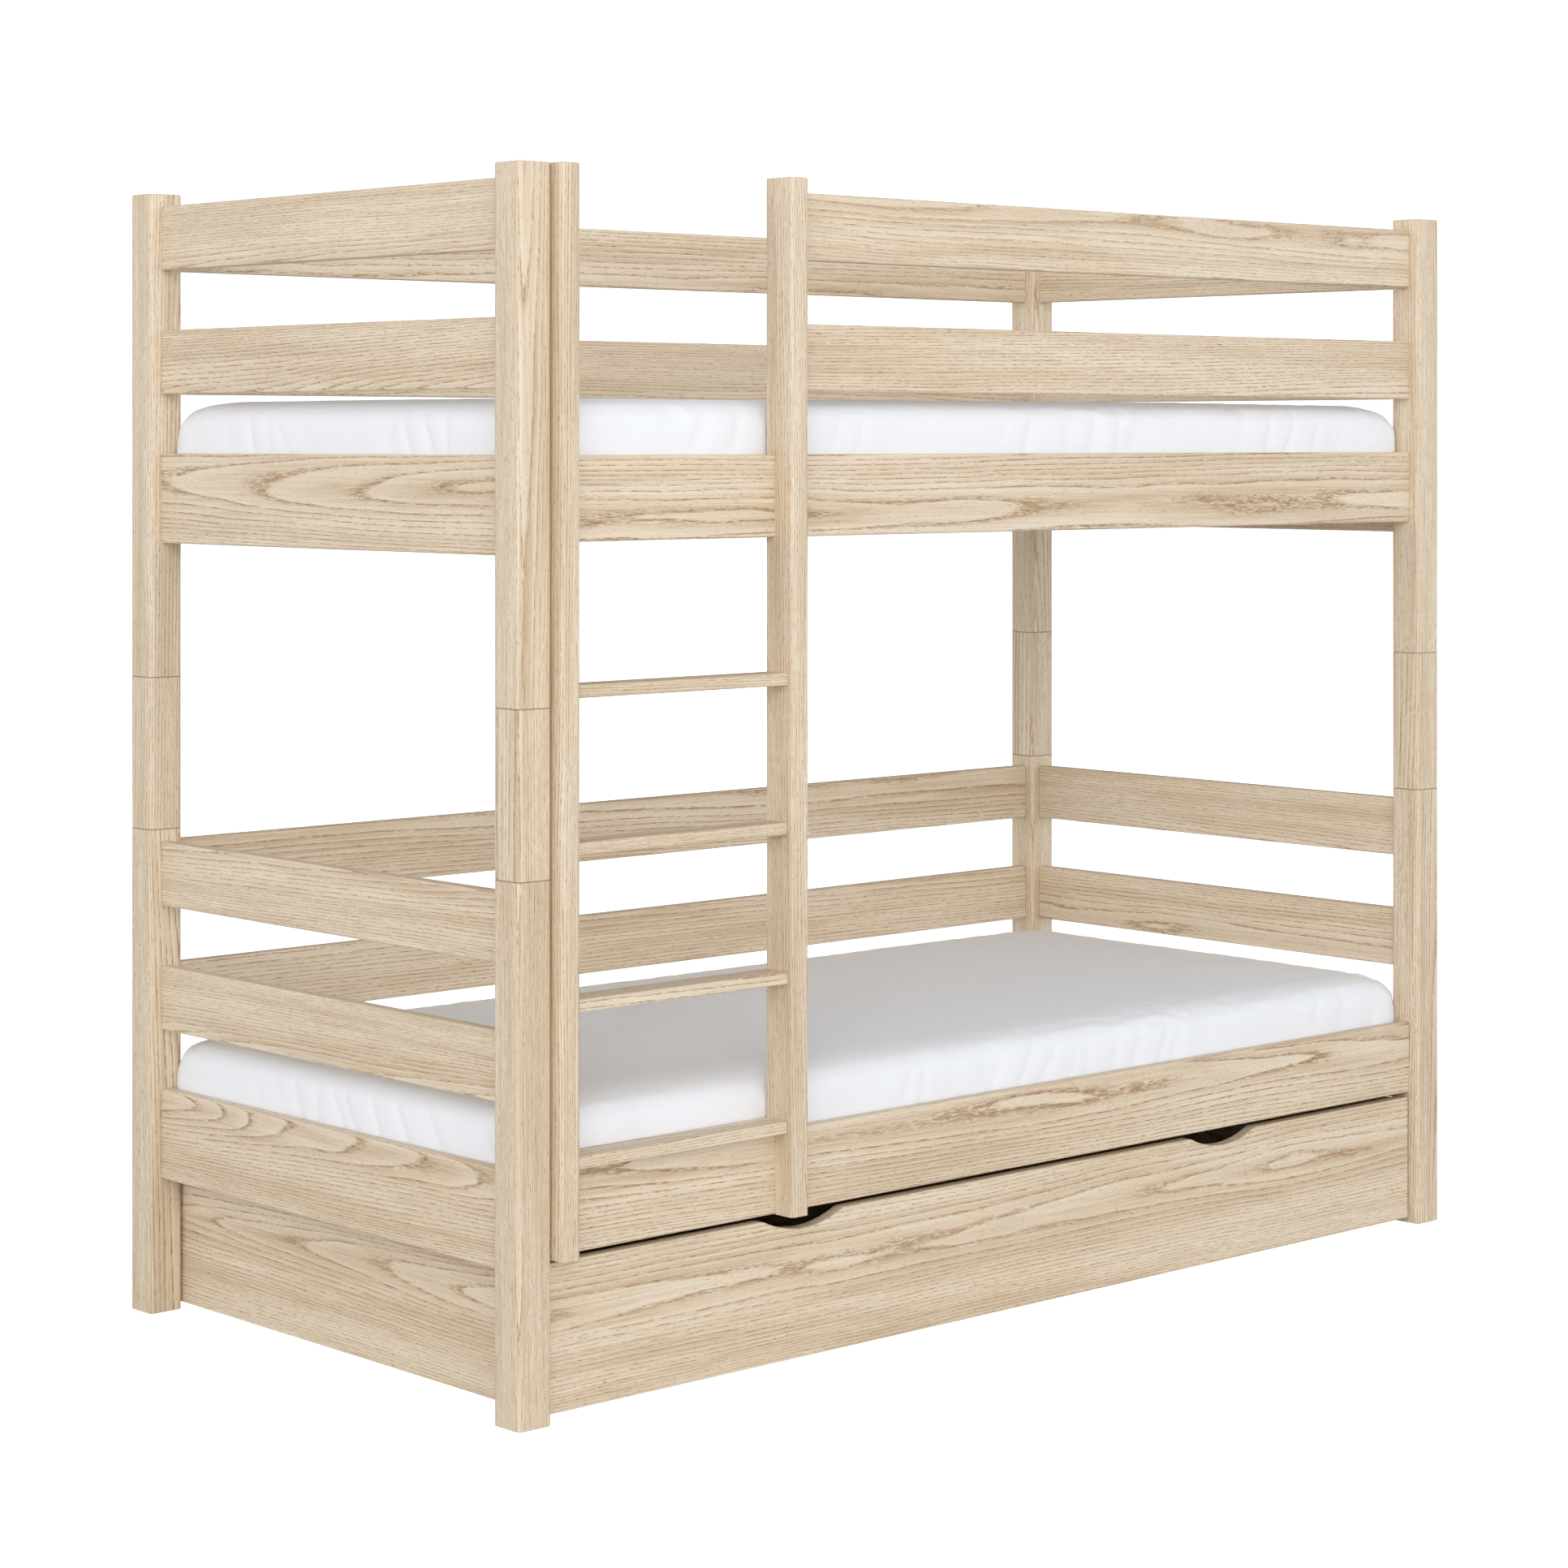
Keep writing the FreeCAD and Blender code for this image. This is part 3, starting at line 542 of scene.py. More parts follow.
def make_screw_tree(name):
    """A countersunk screw with a cross recess on every point, pointing along the point's aim."""
    f = "NodeSocketFloat"
    tree, given, out = new_geometry_tree(
        name, (("Head Radius", f, 0.004), ("Shank Radius", f, 0.002), ("Length", f, 0.040),
               ("Recess", f, 0.0045), ("Seed", "NodeSocketInt", 0), ("Material", "NodeSocketMaterial", None)))
    head_depth = tree.minus(given["Head Radius"], given["Shank Radius"])
    cone = tree.node("GeometryNodeMeshCone", {"Vertices": 16, "Radius Top": given["Shank Radius"],
                                              "Radius Bottom": given["Head Radius"], "Depth": head_depth})
    half_width = tree.times(given["Recess"], 0.22)
    slots = [tree.node("GeometryNodeMeshCube", {"Size": size}).outputs[0]
             for size in (tree.join(given["Recess"], half_width, head_depth),
                          tree.join(half_width, given["Recess"], head_depth))]
    cut = tree.node("GeometryNodeMeshBoolean", {0: cone.outputs[0]}, operation="DIFFERENCE")
    for slot in slots:
        tree.put(cut.inputs["Mesh 2"], slot)
    rod_length = tree.minus(given["Length"], head_depth)
    rod = tree.node("GeometryNodeMeshCylinder",
                    {"Vertices": 10, "Radius": given["Shank Radius"], "Depth": rod_length})
    middle = tree.plus(head_depth, tree.times(rod_length, 0.5))
    shank = tree.node("GeometryNodeTransform",
                      {"Geometry": rod.outputs[0], "Translation": tree.join(0.0, 0.0, middle)})
    screw = tree.node("GeometryNodeJoinGeometry")
    tree.put(screw.inputs[0], cut.outputs[0])
    tree.put(screw.inputs[0], shank.outputs[0])
    aim = tree.node("GeometryNodeInputNamedAttribute", {"Name": "aim"}, data_type="FLOAT_VECTOR").outputs[0]
    turn = tree.node("FunctionNodeRandomValue", {2: 0.0, 3: math.pi, "Seed": given["Seed"]}).outputs[1]
    twist = tree.node("FunctionNodeAxisAngleToRotation", {"Axis": (0.0, 0.0, 1.0), "Angle": turn}).outputs[0]
    facing = tree.node("FunctionNodeAlignRotationToVector", {"Rotation": twist, "Vector": aim}, axis="Z")
    placed = tree.node(
        "GeometryNodeInstanceOnPoints",
        {"Points": given["Geometry"], "Instance": screw.outputs[0], "Rotation": facing.outputs[0]})
    end_tree(tree, out, placed.outputs[0], given["Material"])
    return tree.tree


def make_stitch_tree(name):
    """A row of stitches along every line of edges."""
    f = "NodeSocketFloat"
    tree, given, out = new_geometry_tree(
        name, (("Pitch", f, 0.005), ("Stitch Length", f, 0.0036), ("Thread", f, 0.0008),
               ("Material", "NodeSocketMaterial", None)))
    line = tree.node("GeometryNodeMeshToCurve", {0: given["Geometry"]}).outputs[0]
    spaced = tree.node("GeometryNodeResampleCurve", {"Curve": line, "Length": given["Pitch"]}, mode="LENGTH")
    along = tree.node("GeometryNodeInputTangent").outputs[0]
    facing = tree.node("FunctionNodeAlignRotationToVector", {"Vector": along}, axis="X").outputs[0]
    bead = tree.node("GeometryNodeMeshIcoSphere", {"Radius": 0.5, "Subdivisions": 1}).outputs[0]
    size = tree.join(given["Stitch Length"], given["Thread"], given["Thread"])
    placed = tree.node("GeometryNodeInstanceOnPoints", {"Points": spaced.outputs[0], "Instance": bead,
                                                        "Rotation": facing, "Scale": size})
    end_tree(tree, out, placed.outputs[0], given["Material"])
    return tree.tree


def grow(piece, group, values):
    """Runs a geometry tree on a piece and keeps the result as the piece's plain mesh."""
    modifier = piece.modifiers.new(group.name, "NODES")
    modifier.node_group = group
    for item in group.interface.items_tree:
        if item.item_type == "SOCKET" and item.in_out == "INPUT" and item.name in values:
            modifier[item.identifier] = values[item.name]
    apply_modifiers(piece)


# ---- timber ----
class BUNK_OT_timber(bpy.types.Operator):
    """Gives every post, rail, board, rung, slat and drawer panel its own cut of wood"""
    bl_idname = "bunk.timber"
    bl_label = "Finish the timber"

    def execute(self, context):
        plainness = {"oak": 0.0, "spruce": 0.9, "drawer_board": 0.5, "beech": 1.0}
        for index, node in enumerate(sorted(frame["nodes"])):
            slot = slot_of(node)
            if slot in plainness:
                low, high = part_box(node)
                rng = random.Random(701 + index)
                paint(node, timber(f"{node}_wood", grain_of(node), rng, low, high, plainness[slot]))
        return {"FINISHED"}


# ---- hardware ----
def loose_parts(node):
    """The separate solids of a CAD node, each as a list of points."""
    shell = bmesh.new()
    shell.from_mesh(frame["nodes"][node].data)
    bmesh.ops.remove_doubles(shell, verts=shell.verts, dist=1e-5)
    left = set(shell.verts)
    parts = []
    for first in shell.verts:
        if first not in left:
            continue
        left.discard(first)
        part, front = [], [first]
        while front:
            vertex = front.pop()
            part.append(vertex.co.copy())
            for edge in vertex.link_edges:
                other = edge.other_vert(vertex)
                if other in left:
                    left.discard(other)
                    front.append(other)
        parts.append(part)
    shell.free()
    return parts


def screw_places(node):
    """Where each screw's head is, which way the screw points, and the head's radius and screw's length."""
    places, aims = [], []
    for part in loose_parts(node):
        low = Vector([min(point[axis] for point in part) for axis in range(3)])
        high = Vector([max(point[axis] for point in part) for axis in range(3)])
        size = high - low
        axis = max(range(3), key=lambda index: size[index])
        middle = (low + high) / 2
        widths = []
        for end in (low[axis], high[axis]):
            ring = [point - middle for point in part if abs(point[axis] - end) < 0.1 * MM]
            widths.append(max(math.hypot(*[ray[i] for i in range(3) if i != axis]) for ray in ring))
        head, tip = (low, high) if widths[0] > widths[1] else (high, low)
        place, aim = middle.copy(), Vector((0.0, 0.0, 0.0))
        place[axis] = head[axis]
        aim[axis] = math.copysign(1.0, tip[axis] - head[axis])
        places.append(place)
        aims.append(aim)
    return places, aims, (max(widths), size[axis])


class BUNK_OT_hardware(bpy.types.Operator):
    """Finishes the plates, screws, pins, brackets and castor wheels"""
    bl_idname = "bunk.hardware"
    bl_label = "Finish the hardware"

    def execute(self, context):
        settings = context.scene.bunk_hardware
        finishes = {"zinc_steel": plated("zinc_steel", settings.zinc),
                    "castor_plastic": moulded("castor_plastic", settings.tyre)}
        for node in frame["nodes"]:
            if slot_of(node) in finishes:
                paint(node, finishes[slot_of(node)])
        self.add_screws("wood_screws", "bed_frame", 5, settings, finishes["zinc_steel"])
        self.add_screws("drawer_screws", "drawer", 9, settings, finishes["zinc_steel"])
        return {"FINISHED"}

    def add_screws(self, node, body, seed, settings, material):
        """Stands a screw with a cross recess in the place of each plain one."""
        places, aims, sizes = screw_places(node)
        piece = new_piece(f"{node}_recessed", places)
        aim = piece.data.attributes.new("aim", "FLOAT_VECTOR", "POINT")
        for item, direction in zip(aim.data, aims):
            item.vector = direction
        head, screw_length = sizes
        values = {"Head Radius": head, "Shank Radius": head * settings.shank_share, "Length": screw_length,
                  "Recess": head * settings.recess_share, "Seed": seed, "Material": material}
        grow(piece, group_of("screw_set", make_screw_tree), values)
        join_frame(piece, body, (node,))


# ---- mattresses ----
def merged_copy(node, name):
    """A welded copy of a CAD node's mesh, as a loose object."""
    mesh = frame["nodes"][node].data.copy()
    shell = bmesh.new()
    shell.from_mesh(mesh)
    bmesh.ops.remove_doubles(shell, verts=shell.verts, dist=1e-5)
    shell.to_mesh(mesh)
    shell.free()
    mesh.materials.clear()
    return new_object(name, mesh)


def apply_modifiers(piece):
    """Replaces a piece's mesh by what its modifiers make of it."""
    graph = bpy.context.evaluated_depsgraph_get()
    mesh = bpy.data.meshes.new_from_object(piece.evaluated_get(graph))
    piece.modifiers.clear()
    old = piece.data
    piece.data = mesh
    bpy.data.meshes.remove(old)


def remesh(piece, voxel):
    modifier = piece.modifiers.new("voxels", "REMESH")
    modifier.mode = "VOXEL"
    modifier.voxel_size = voxel
    smoother = piece.modifiers.new("even", "SMOOTH")
    smoother.factor = 0.5
    smoother.iterations = 2
    apply_modifiers(piece)


def edge_inset(point, low, high):
    """How far a point is from the nearest end and the nearest long side."""
    return (min(point.x - low.x, high.x - point.x), min(point.y - low.y, high.y - point.y))


def crown(piece, low, high, settings):
    """Lets the top fall away in a soft curve towards every edge, further at the corners."""
    for vertex in piece.data.vertices:
        part = [max(0.0, 1.0 - max(0.0, inset) / settings.crown_reach)
                for inset in edge_inset(vertex.co, low, high)]
        rise = (vertex.co.z - low.z) / (high.z - low.z)
        vertex.co.z -= settings.crown_fall * math.hypot(*part) ** settings.crown_power * rise


def swell(piece, node, low, high, settings):
    """Lets the sides stand out softly towards the boards, but not into the posts."""
    bed = node.split("_")[0]
    post_low, post_high = (Vector(corner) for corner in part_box(f"{bed}_post_back_right"))
    middle = (low + high) / 2
    round_edge = settings.post_edge
    centre = Vector((post_low.x + round_edge - middle.x, post_low.y + round_edge - middle.y))
    clear = round_edge + settings.post_gap
    mesh = piece.data
    normals = [normal.vector.copy() for normal in mesh.vertex_normals]
    for vertex, normal in zip(mesh.vertices, normals):
        rise = (vertex.co.z - low.z) / (high.z - low.z)
        flat = Vector((abs(normal.x), abs(normal.y)))
        if flat.length < 0.05:
            continue
        amount = settings.swell * min(1.0, flat.length) * math.sin(math.pi * min(1.0, 0.12 + 0.80 * rise))
        place = Vector((abs(vertex.co.x - middle.x), abs(vertex.co.y - middle.y)))
        while amount > 0.0 and (place + flat.normalized() * amount - centre).length < clear:
            amount -= 0.2 * MM
        vertex.co += Vector((normal.x, normal.y, 0.0)).normalized() * max(0.0, amount)


def hold_inside(piece, node, settings):
    """Keeps the soft sides just clear of the boards and posts round them."""
    bed = node.split("_")[0]
    walls = ((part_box(f"{bed}_left_board")[1].x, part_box(f"{bed}_right_board")[0].x),
             (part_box(f"{bed}_front_board")[1].y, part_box(f"{bed}_back_board")[0].y))
    middle = [(lower + upper) / 2 for lower, upper in walls]
    half = [(upper - lower) / 2 - settings.board_gap for lower, upper in walls]
    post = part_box(f"{bed}_post_back_right")[0]
    clear = settings.post_edge + settings.post_gap
    for vertex in piece.data.vertices:
        held = [0.0, 0.0]
        for axis in (0, 1):
            offset = abs(vertex.co[axis] - middle[axis])
            over = max(0.0, offset - (half[axis] - settings.soft_stop))
            held[axis] = offset - over + settings.soft_stop * (1.0 - math.exp(-over / settings.soft_stop))
        beyond = [post[axis] + settings.post_edge - middle[axis] - held[axis] for axis in (0, 1)]
        away = Vector([max(0.0, part) for part in beyond])
        if away.length < clear:
            push = away.normalized() if away.length > 0.0 else Vector((0.5, 0.5)).normalized()
            held = [held[axis] - push[axis] * (clear - away.length) for axis in (0, 1)]
        for axis in (0, 1):
            vertex.co[axis] = middle[axis] + math.copysign(held[axis], vertex.co[axis] - middle[axis])


def drawn_fold(inset_x, inset_y, place, seed, settings):
    """Long folds that the corners draw along the long sides, closing up away from the corner."""
    reach = inset_x / settings.fold_reach
    if not 0.0 < reach < 1.0 or not 0.0 < inset_y < settings.fold_band:
        return 0.0
    corner = Vector((math.copysign(1.0, place.x), math.copysign(1.0, place.y), seed))
    strength = 0.35 + 0.65 * max(0.0, math.sin(corner.x * 1.9 + corner.y * 1.1 + seed))
    across = inset_y / (1.15 - 0.60 * reach) + 0.010 * mathutils.noise.noise(place * 5.0)
    ridge = 0.5 + 0.5 * math.cos(2 * math.pi * across / settings.fold_pitch)
    window = math.sin(math.pi * inset_y / settings.fold_band) * math.sin(math.pi * reach) ** 0.6
    return 0.55 * strength * ridge ** 2 * window


def crease(piece, low, high, seed, settings):
    """Presses soft creases into the sheet: slanting folds over the edge and long shallow ones on top."""
    noise = mathutils.noise.noise
    mesh = piece.data
    normals = [normal.vector.copy() for normal in mesh.vertex_normals]
    for vertex, normal in zip(mesh.vertices, normals):
        place = vertex.co
        inset_x, inset_y = edge_inset(place, low, high)
        height = (place.z - low.z) / (high.z - low.z)
        along, inset = (place.x, inset_y) if inset_y < inset_x else (place.y + 3.0, inset_x)
        down = inset + (high.z - place.z)
        slant = along + 0.55 * down * (1.0 if noise(Vector((along * 1.3, seed, 0.0))) > 0.0 else 0.7)
        folded = 1.0 - abs(noise(Vector((slant * 17.0, down * 5.0, seed)))) * 2.6
        group = max(0.0, noise(Vector((along * 3.1, seed + 7.0, down * 4.0))) + 0.22) * 3.0
        upward = max(0.0, normal.z)
        near_edge = math.exp(-(max(0.0, down - 0.055) / 0.055) ** 2) * min(1.0, height * 1.6)
        near_edge *= 1.0 - 0.75 * upward
        edge_fold = max(0.0, folded) ** 2 * min(1.0, group) * near_edge
        sweep = noise(Vector((place.x * 2.4 + place.y * 3.0, place.y * 9.0 - place.x * 1.6, seed + 13.0)))
        patch = max(0.0, noise(place * 2.0 + Vector((seed, 0, 0))) + 0.25)
        long_fold = max(0.0, 1.0 - abs(sweep) * 7.0) ** 2 * patch
        on_top = upward * min(1.0, max(0.0, inset) / 0.05)
        drawn = drawn_fold(inset_x, inset_y, place, seed, settings) * upward
        vertex.co = place - normal * settings.crease * (edge_fold + 0.8 * long_fold * on_top + drawn)


def settle_sheet(piece, core, low, settings):
    """Lets the sheet, cut a little too large, settle on the mattress under it."""
    pinned = piece.vertex_groups.new(name="hem")
    x_edge = max(abs(v.co.x) for v in piece.data.vertices)
    middle = (max(v.co.y for v in piece.data.vertices) + min(v.co.y for v in piece.data.vertices)) / 2
    y_edge = max(v.co.y for v in piece.data.vertices) - middle
    for vertex in piece.data.vertices:
        inset = min(x_edge - abs(vertex.co.x), y_edge - abs(vertex.co.y - middle))
        if vertex.co.z < low.z + 0.004 and inset > settings.hem_inset * 0.6:
            pinned.add([vertex.index], 1.0, "REPLACE")
    core.modifiers.new("body", "COLLISION")
    core.collision.thickness_outer = 0.002
    core.collision.cloth_friction = 12.0
    cloth = piece.modifiers.new("cloth", "CLOTH")
    cloth.settings.quality = 4
    cloth.settings.mass = 0.15
    cloth.settings.tension_stiffness = 18.0
    cloth.settings.compression_stiffness = 12.0
    cloth.settings.shear_stiffness = 4.0
    cloth.settings.bending_stiffness = 0.25
    cloth.settings.air_damping = 2.0
    cloth.settings.shrink_min = -settings.ease
    cloth.settings.shrink_max = -settings.ease
    cloth.settings.vertex_group_mass = "hem"
    cloth.collision_settings.distance_min = 0.002
    cloth.collision_settings.collision_quality = 2
    cloth.point_cache.frame_start = 1
    cloth.point_cache.frame_end = settings.frames
    for step in range(1, settings.frames + 1):
        bpy.context.scene.frame_set(step)
    start = [vertex.co.copy() for vertex in piece.data.vertices]
    graph = bpy.context.evaluated_depsgraph_get()
    settled = piece.evaluated_get(graph).data
    moved = [vertex.co.copy() for vertex in settled.vertices]
    piece.modifiers.clear()
    bpy.context.scene.frame_set(1)
    for vertex, before, after in zip(piece.data.vertices, start, moved):
        shift = after - before
        if shift.length > settings.move_limit:
            shift *= settings.move_limit / shift.length
        vertex.co = before + shift


def hem_faces(mesh, low, high, inset):
    """Gives the faces under the mattress, inside the hem, the second material."""
    for polygon in mesh.polygons:
        centre = polygon.center
        edge = min(centre.x - low.x, high.x - centre.x, centre.y - low.y, high.y - centre.y)
        if polygon.normal.z < -0.7 and edge > inset:
            polygon.material_index = 1


def rounded_loop(low, high, radius, spacing):
    """Points round a rectangle with rounded corners, evenly spaced, with the direction outwards at each."""
    centres = ((high.x - radius, high.y - radius), (low.x + radius, high.y - radius),
               (low.x + radius, low.y + radius), (high.x - radius, low.y + radius))
    corners = []
    for quarter, (x, y) in enumerate(centres):
        for step in range(9):
            angle = (quarter + step / 8) * math.pi / 2
            outward = Vector((math.cos(angle), math.sin(angle), 0.0))
            corners.append((Vector((x, y, low.z)) + outward * radius, outward))
    loop = []
    for (start, first), (end, last) in zip(corners, corners[1:] + corners[:1]):
        count = max(1, round((end - start).length / spacing))
        for step in range(count):
            part = step / count
            loop.append((start.lerp(end, part), first.lerp(last, part).normalized()))
    return loop


def tube(name, path, outward, sizes, closed):
    """A tube of oval section. Each point of the path has its own half width and half height."""
    sides = 8
    points, faces = [], []
    for place, out, (width, height) in zip(path, outward, sizes):
        for side in range(sides):
            angle = 2 * math.pi * side / sides
            points.append(place + out * (width * math.cos(angle)) + Vector((0, 0, height * math.sin(angle))))
    count = len(path)
    for ring in range(count if closed else count - 1):
        first, second = ring * sides, (ring + 1) % count * sides
        for side in range(sides):
            after = (side + 1) % sides
            faces.append((first + side, first + after, second + after, second + side))
    if not closed:
        faces.append(tuple(reversed(range(sides))))
        faces.append(tuple(range((count - 1) * sides, count * sides)))
    piece = new_piece(name, points, faces=faces)
    shell = bmesh.new()
    shell.from_mesh(piece.data)
    bmesh.ops.recalc_face_normals(shell, faces=shell.faces)
    shell.to_mesh(piece.data)
    shell.free()
    piece.data.shade_smooth()
    return piece


def gather_hem(piece, low, high, settings):
    """Draws the sheet in under the mattress: pleats towards the hem, the cover a little higher inside it."""
    for vertex in piece.data.vertices:
        place = vertex.co
        if place.z > low.z + settings.hem_rise * 2.0:
            continue
        inset_x, inset_y = edge_inset(place, low, high)
        inset = min(inset_x, inset_y)
        along = place.x if inset_y < inset_x else place.y
        if inset > settings.hem_inset:
            place.z += settings.hem_rise * min(1.0, (inset - settings.hem_inset) / 0.008)
        elif inset > 0.02:
            pleat = 0.5 + 0.5 * math.sin(along * 2 * math.pi / settings.pleat)
            place.z += 0.5 * settings.hem_rise * pleat * (inset - 0.02) / (settings.hem_inset - 0.02)


def add_hem(node, low, high, sheet, settings):
    """The elastic hem under the mattress; returns the line where its row of stitches runs."""
    inset = Vector((settings.hem_inset, settings.hem_inset, 0.0))
    spacing = 0.0045
    loop = rounded_loop(low + inset, high - inset, settings.hem_corner, spacing)
    rise = Vector((0.0, 0.0, settings.hem_rise * 0.5))
    path = [place + rise for place, out in loop]
    outward = [out for place, out in loop]
    wave = [math.sin(index * spacing * 2 * math.pi / settings.pleat) for index in range(len(loop))]
    sizes = [(0.0050 + 0.0008 * ripple, settings.hem_rise * (0.42 + 0.06 * ripple)) for ripple in wave]
    hem = tube(f"{node}_hem", path, outward, sizes, closed=True)
    hem.data.materials.append(sheet)
    join_frame(hem, node)
    return [place + out * 0.0078 for place, out in loop]


def seam_path(tree, low, high, side_x, side_y):
    """A line over the finished sheet at one corner, from near the hem up and over the edge."""
    outward = Vector((side_x, side_y, 0.0)).normalized()
    reach = 0.075
    corner = Vector((high.x if side_x > 0 else low.x, high.y if side_y > 0 else low.y, 0.0))
    pivot = corner - Vector((side_x, side_y, 0.0)) * reach
    pivot.z = high.z - reach
    rays = [(Vector((pivot.x, pivot.y, low.z + 0.020 + (pivot.z - low.z - 0.020) * step / 8)), outward)
            for step in range(8)]
    for step in range(13):
        angle = math.radians(62.0) * step / 12
        rays.append((pivot, outward * math.cos(angle) + Vector((0, 0, math.sin(angle)))))
    path = []
    for base, direction in rays:
        hit = tree.ray_cast(base + direction * 0.4, -direction)
        if hit[0] is not None:
            path.append(hit[0])
    return path


def add_corner_seams(node, piece, low, high, sheet):
    """A narrow sewn ridge at each corner, where the sheet is shaped to the mattress."""
    mesh = piece.data
    surface = BVHTree.FromPolygons([v.co for v in mesh.vertices], [tuple(p.vertices) for p in mesh.polygons])
    lines = []
    for side_x, side_y in ((-1, -1), (1, -1), (1, 1), (-1, 1)):
        path = seam_path(surface, low, high, side_x, side_y)
        across = Vector((-side_y, side_x, 0.0)).normalized()
        name = f"{node}_seam_{'right' if side_x > 0 else 'left'}_{'back' if side_y > 0 else 'front'}"
        ridge = tube(name, path, [across] * len(path), [(0.0014, 0.0007)] * len(path), closed=False)
        ridge.data.materials.append(sheet)
        join_frame(ridge, node)
        for offset in (-0.0042, 0.0042):
            lines.append([surface.find_nearest(place + across * offset)[0] for place in path])
    return lines


def add_stitches(node, lines, closed, thread, settings):
    """One piece with the stitches of a mattress's sheet."""
    points, edges = [], []
    for line, loops in zip(lines, closed):
        first = len(points)
        points.extend(line)
        edges.extend((index, index + 1) for index in range(first, len(points) - 1))
        if loops:
            edges.append((len(points) - 1, first))
    piece = new_piece(f"{node}_stitches", points, edges)
    values = {"Pitch": settings.stitch_pitch, "Stitch Length": settings.stitch_pitch * 0.7,
              "Thread": settings.stitch_pitch * 0.16, "Material": thread}
    grow(piece, group_of("stitch_rows", make_stitch_tree), values)
    join_frame(piece, node)


class BUNK_OT_mattresses(bpy.types.Operator):
    """Dresses both mattresses in fitted sheets"""
    bl_idname = "bunk.mattresses"
    bl_label = "Dress the mattresses"

    def execute(self, context):
        settings = context.scene.bunk_sheet
        sheet = woven("cotton_sheet", settings.cloth)
        ticking = woven("mattress_ticking", settings.ticking, shade=0.12)
        thread = woven("sewing_thread", settings.thread_color)
        for node, seed in (("lower_mattress", 3.0), ("upper_mattress", 41.0)):
            low, high = (Vector(corner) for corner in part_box(node))
            piece = merged_copy(node, f"{node}_dressed")
            remesh(piece, settings.voxel)
            swell(piece, node, low, high, settings)
            crown(piece, low, high, settings)
            core = piece.copy()
            core.data = piece.data.copy()
            context.scene.collection.objects.link(core)
            settle_sheet(piece, core, low, settings)
            bpy.data.objects.remove(core)
            hold_inside(piece, node, settings)
            finer = piece.modifiers.new("finer", "SUBSURF")
            finer.levels = finer.render_levels = 1
            apply_modifiers(piece)
            crease(piece, low, high, seed, settings)
            gather_hem(piece, low, high, settings)
            mesh = piece.data
            mesh.materials.append(sheet)
            mesh.materials.append(ticking)
            hem_faces(mesh, low, high, settings.hem_inset)
            mesh.shade_smooth()
            join_frame(piece, node, (node,))
            hem_line = add_hem(node, low, high, sheet, settings)
            seam_lines = add_corner_seams(node, piece, low, high, sheet)
            add_stitches(node, [hem_line, *seam_lines], [True] + [False] * len(seam_lines), thread, settings)
        return {"FINISHED"}


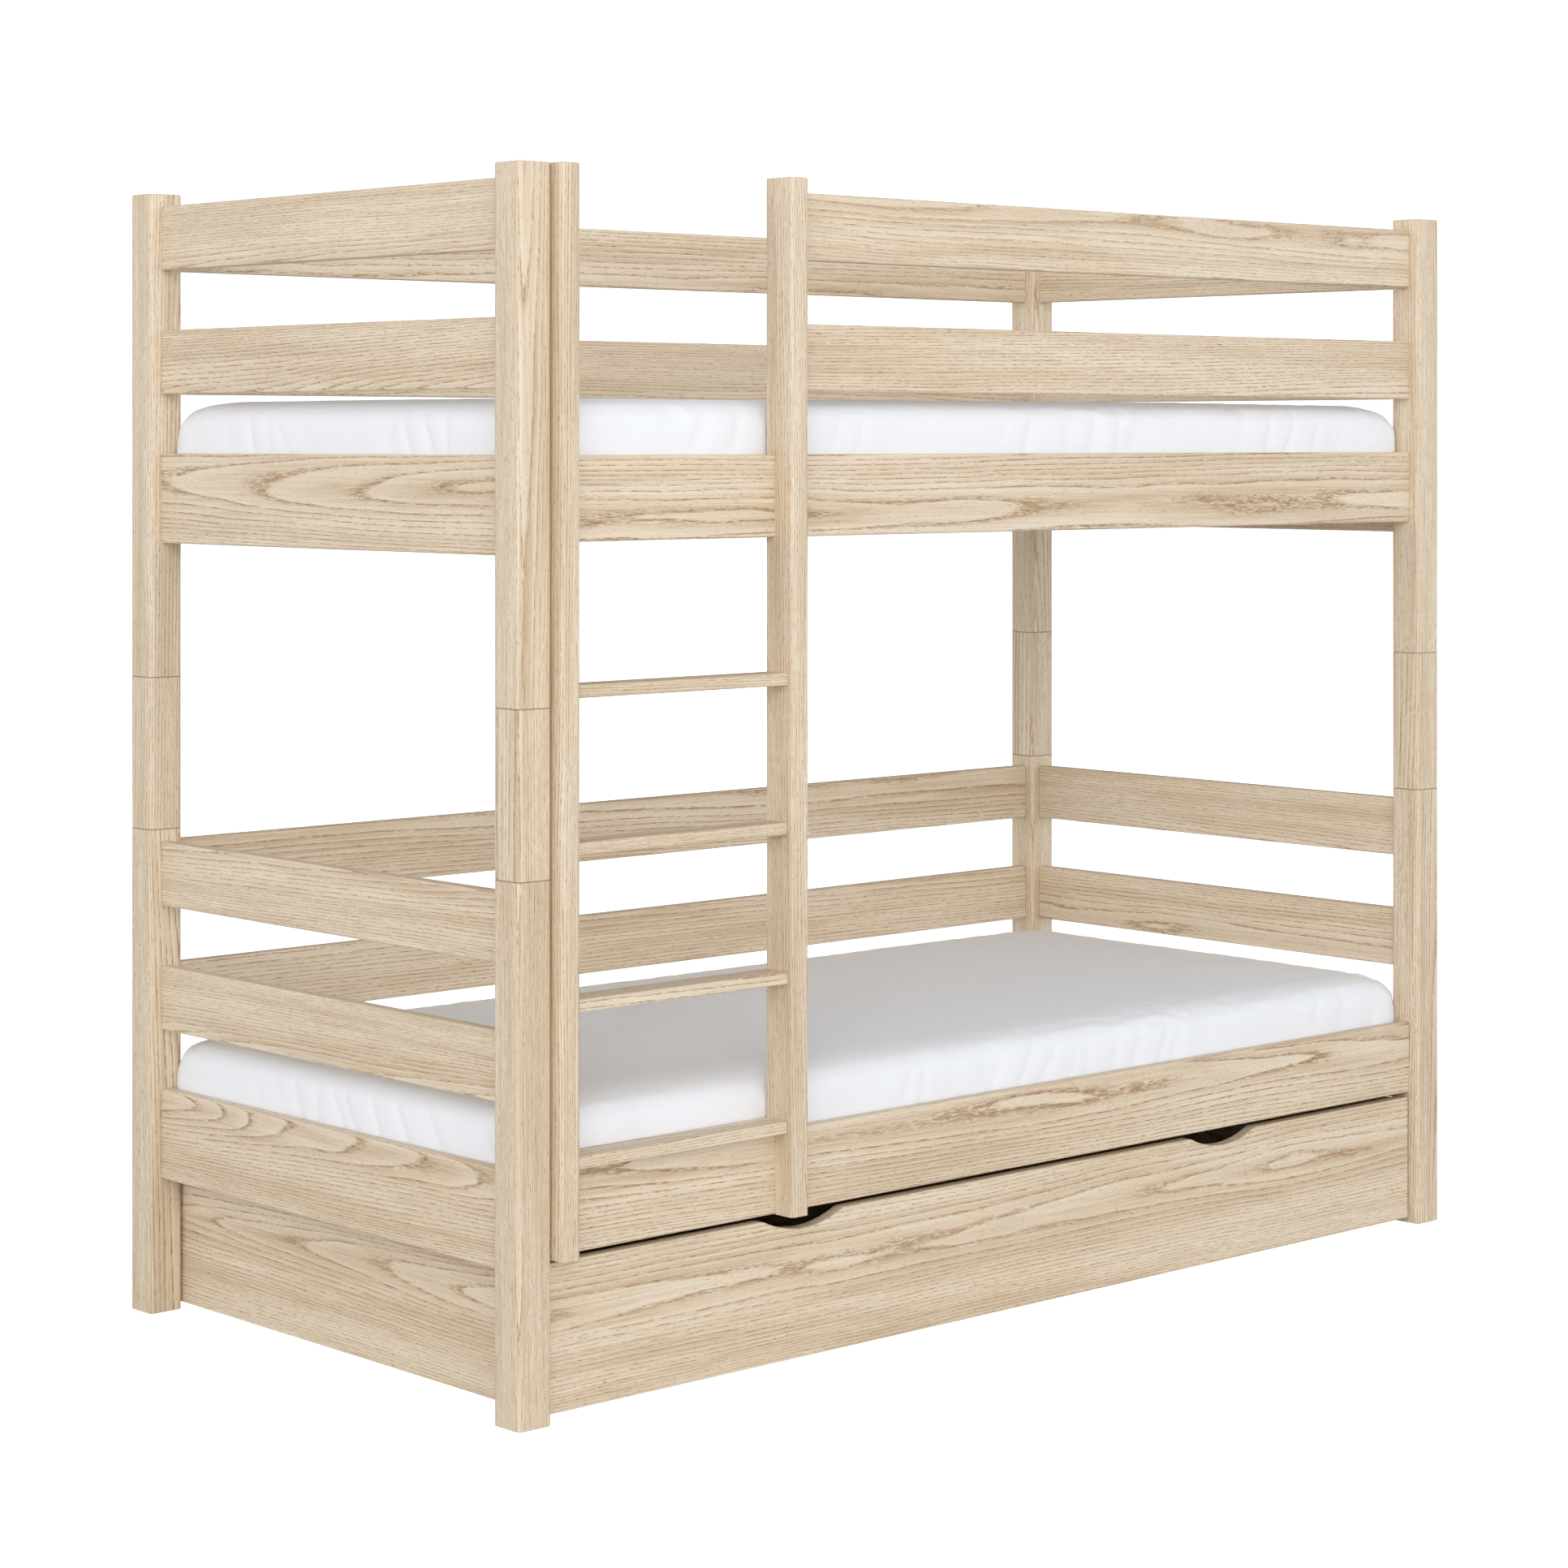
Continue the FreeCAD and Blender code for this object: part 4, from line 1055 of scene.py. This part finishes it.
# ---- stage ----
class BUNK_OT_stage(bpy.types.Operator):
    """Sets the floor, the studio light and the camera"""
    bl_idname = "bunk.stage"
    bl_label = "Set the stage"

    def execute(self, context):
        settings = context.scene.bunk_stage
        self.make_floor(settings)
        self.make_studio(context.scene, settings)
        self.make_light(settings)
        self.make_camera(context.scene, settings)
        return {"FINISHED"}

    def make_floor(self, settings):
        half = settings.floor_half
        corners = [(-half, -half, 0), (half, -half, 0), (half, half, 0), (-half, half, 0)]
        floor = new_piece("floor", corners, faces=[(0, 1, 2, 3)])
        material, tree, shader = new_material("floor_paint", Roughness=0.9, Specular_IOR_Level=0.0)
        cloud = tree.noise(tree.object_place(), (0.8, 0.8, 0.8), detail=2.0)
        pale = [min(1.0, part * 1.03) for part in settings.floor]
        tree.put(shader.inputs["Base Color"], tree.mix(cloud, settings.floor, pale))
        tree.put(shader.inputs["Emission Color"], settings.floor)
        seen = tree.camera_sees(settings.floor_white)
        tree.put(shader.inputs["Emission Strength"], tree.plus(seen, settings.floor_glow))
        floor.data.materials.append(material)

    def make_studio(self, scene, settings):
        world = bpy.data.worlds.new("studio")
        scene.world = world
        world.use_nodes = True
        tree = Tree(world.node_tree)
        background = world.node_tree.nodes["Background"]
        x, y, height = tree.split(tree.node("ShaderNodeTexCoord").outputs["Generated"])
        rise = tree.step(height, 0.06, 0.70)
        change = settings.zenith - settings.horizon
        level = tree.plus(settings.horizon, tree.times(rise, change))
        facing = tree.plus(tree.times(x, -math.sin(settings.camera_heading)),
                           tree.times(y, -math.cos(settings.camera_heading)))
        turn = tree.plus(settings.side_share, tree.times(facing, 1.0 - settings.side_share))
        tree.put(background.inputs["Color"], (1.0, 1.0, 1.0, 1.0))
        lit = tree.math("MAXIMUM", tree.times(level, turn), tree.camera_sees(settings.backdrop))
        tree.put(background.inputs["Strength"], lit)

    def make_light(self, settings):
        lamp = bpy.data.lights.new("key", "AREA")
        lamp.shape = "RECTANGLE"
        lamp.size = 3.2
        lamp.size_y = 2.4
        lamp.energy = settings.key
        light = new_object("key", lamp)
        light.location = settings.key_place
        aim = Vector((0.0, 0.0, 0.8)) - Vector(light.location)
        light.rotation_euler = aim.to_track_quat("-Z", "Y").to_euler()

    def make_camera(self, scene, settings):
        data = bpy.data.cameras.new("camera")
        data.lens = settings.lens
        data.sensor_width = 36.0
        data.shift_y = settings.drop
        data.clip_end = 100.0
        camera = new_object("camera", data)
        camera.location = settings.camera_place
        camera.rotation_euler = (math.pi / 2, 0.0, -settings.camera_heading)
        scene.camera = camera
        scene.view_settings.view_transform = "Standard"


# ---- panel and registration ----
class BUNK_PT_panel(bpy.types.Panel):
    """Lists every step of the bunk bed's finish"""
    bl_idname = "BUNK_PT_panel"
    bl_label = "Bunk bed"
    bl_space_type = "VIEW_3D"
    bl_region_type = "UI"
    bl_category = "Bunk bed"

    def draw(self, context):
        for operator in OPERATORS:
            self.layout.operator(operator.bl_idname)


SETTINGS = {"bunk_timber": TimberSettings, "bunk_sheet": SheetSettings, "bunk_hardware": HardwareSettings,
            "bunk_stage": StageSettings}
OPERATORS = (BUNK_OT_timber, BUNK_OT_hardware, BUNK_OT_mattresses, BUNK_OT_stage)


def register():
    for cls in (*SETTINGS.values(), *OPERATORS, BUNK_PT_panel):
        bpy.utils.register_class(cls)
    for name, cls in SETTINGS.items():
        setattr(bpy.types.Scene, name, bpy.props.PointerProperty(type=cls))


def unregister():
    for name in SETTINGS:
        delattr(bpy.types.Scene, name)
    for cls in reversed((*SETTINGS.values(), *OPERATORS, BUNK_PT_panel)):
        bpy.utils.unregister_class(cls)


def main():
    register()
    bpy.ops.bunk.timber()
    bpy.ops.bunk.hardware()
    bpy.ops.bunk.mattresses()
    bpy.ops.bunk.stage()


if __name__ == "__main__":
    main()
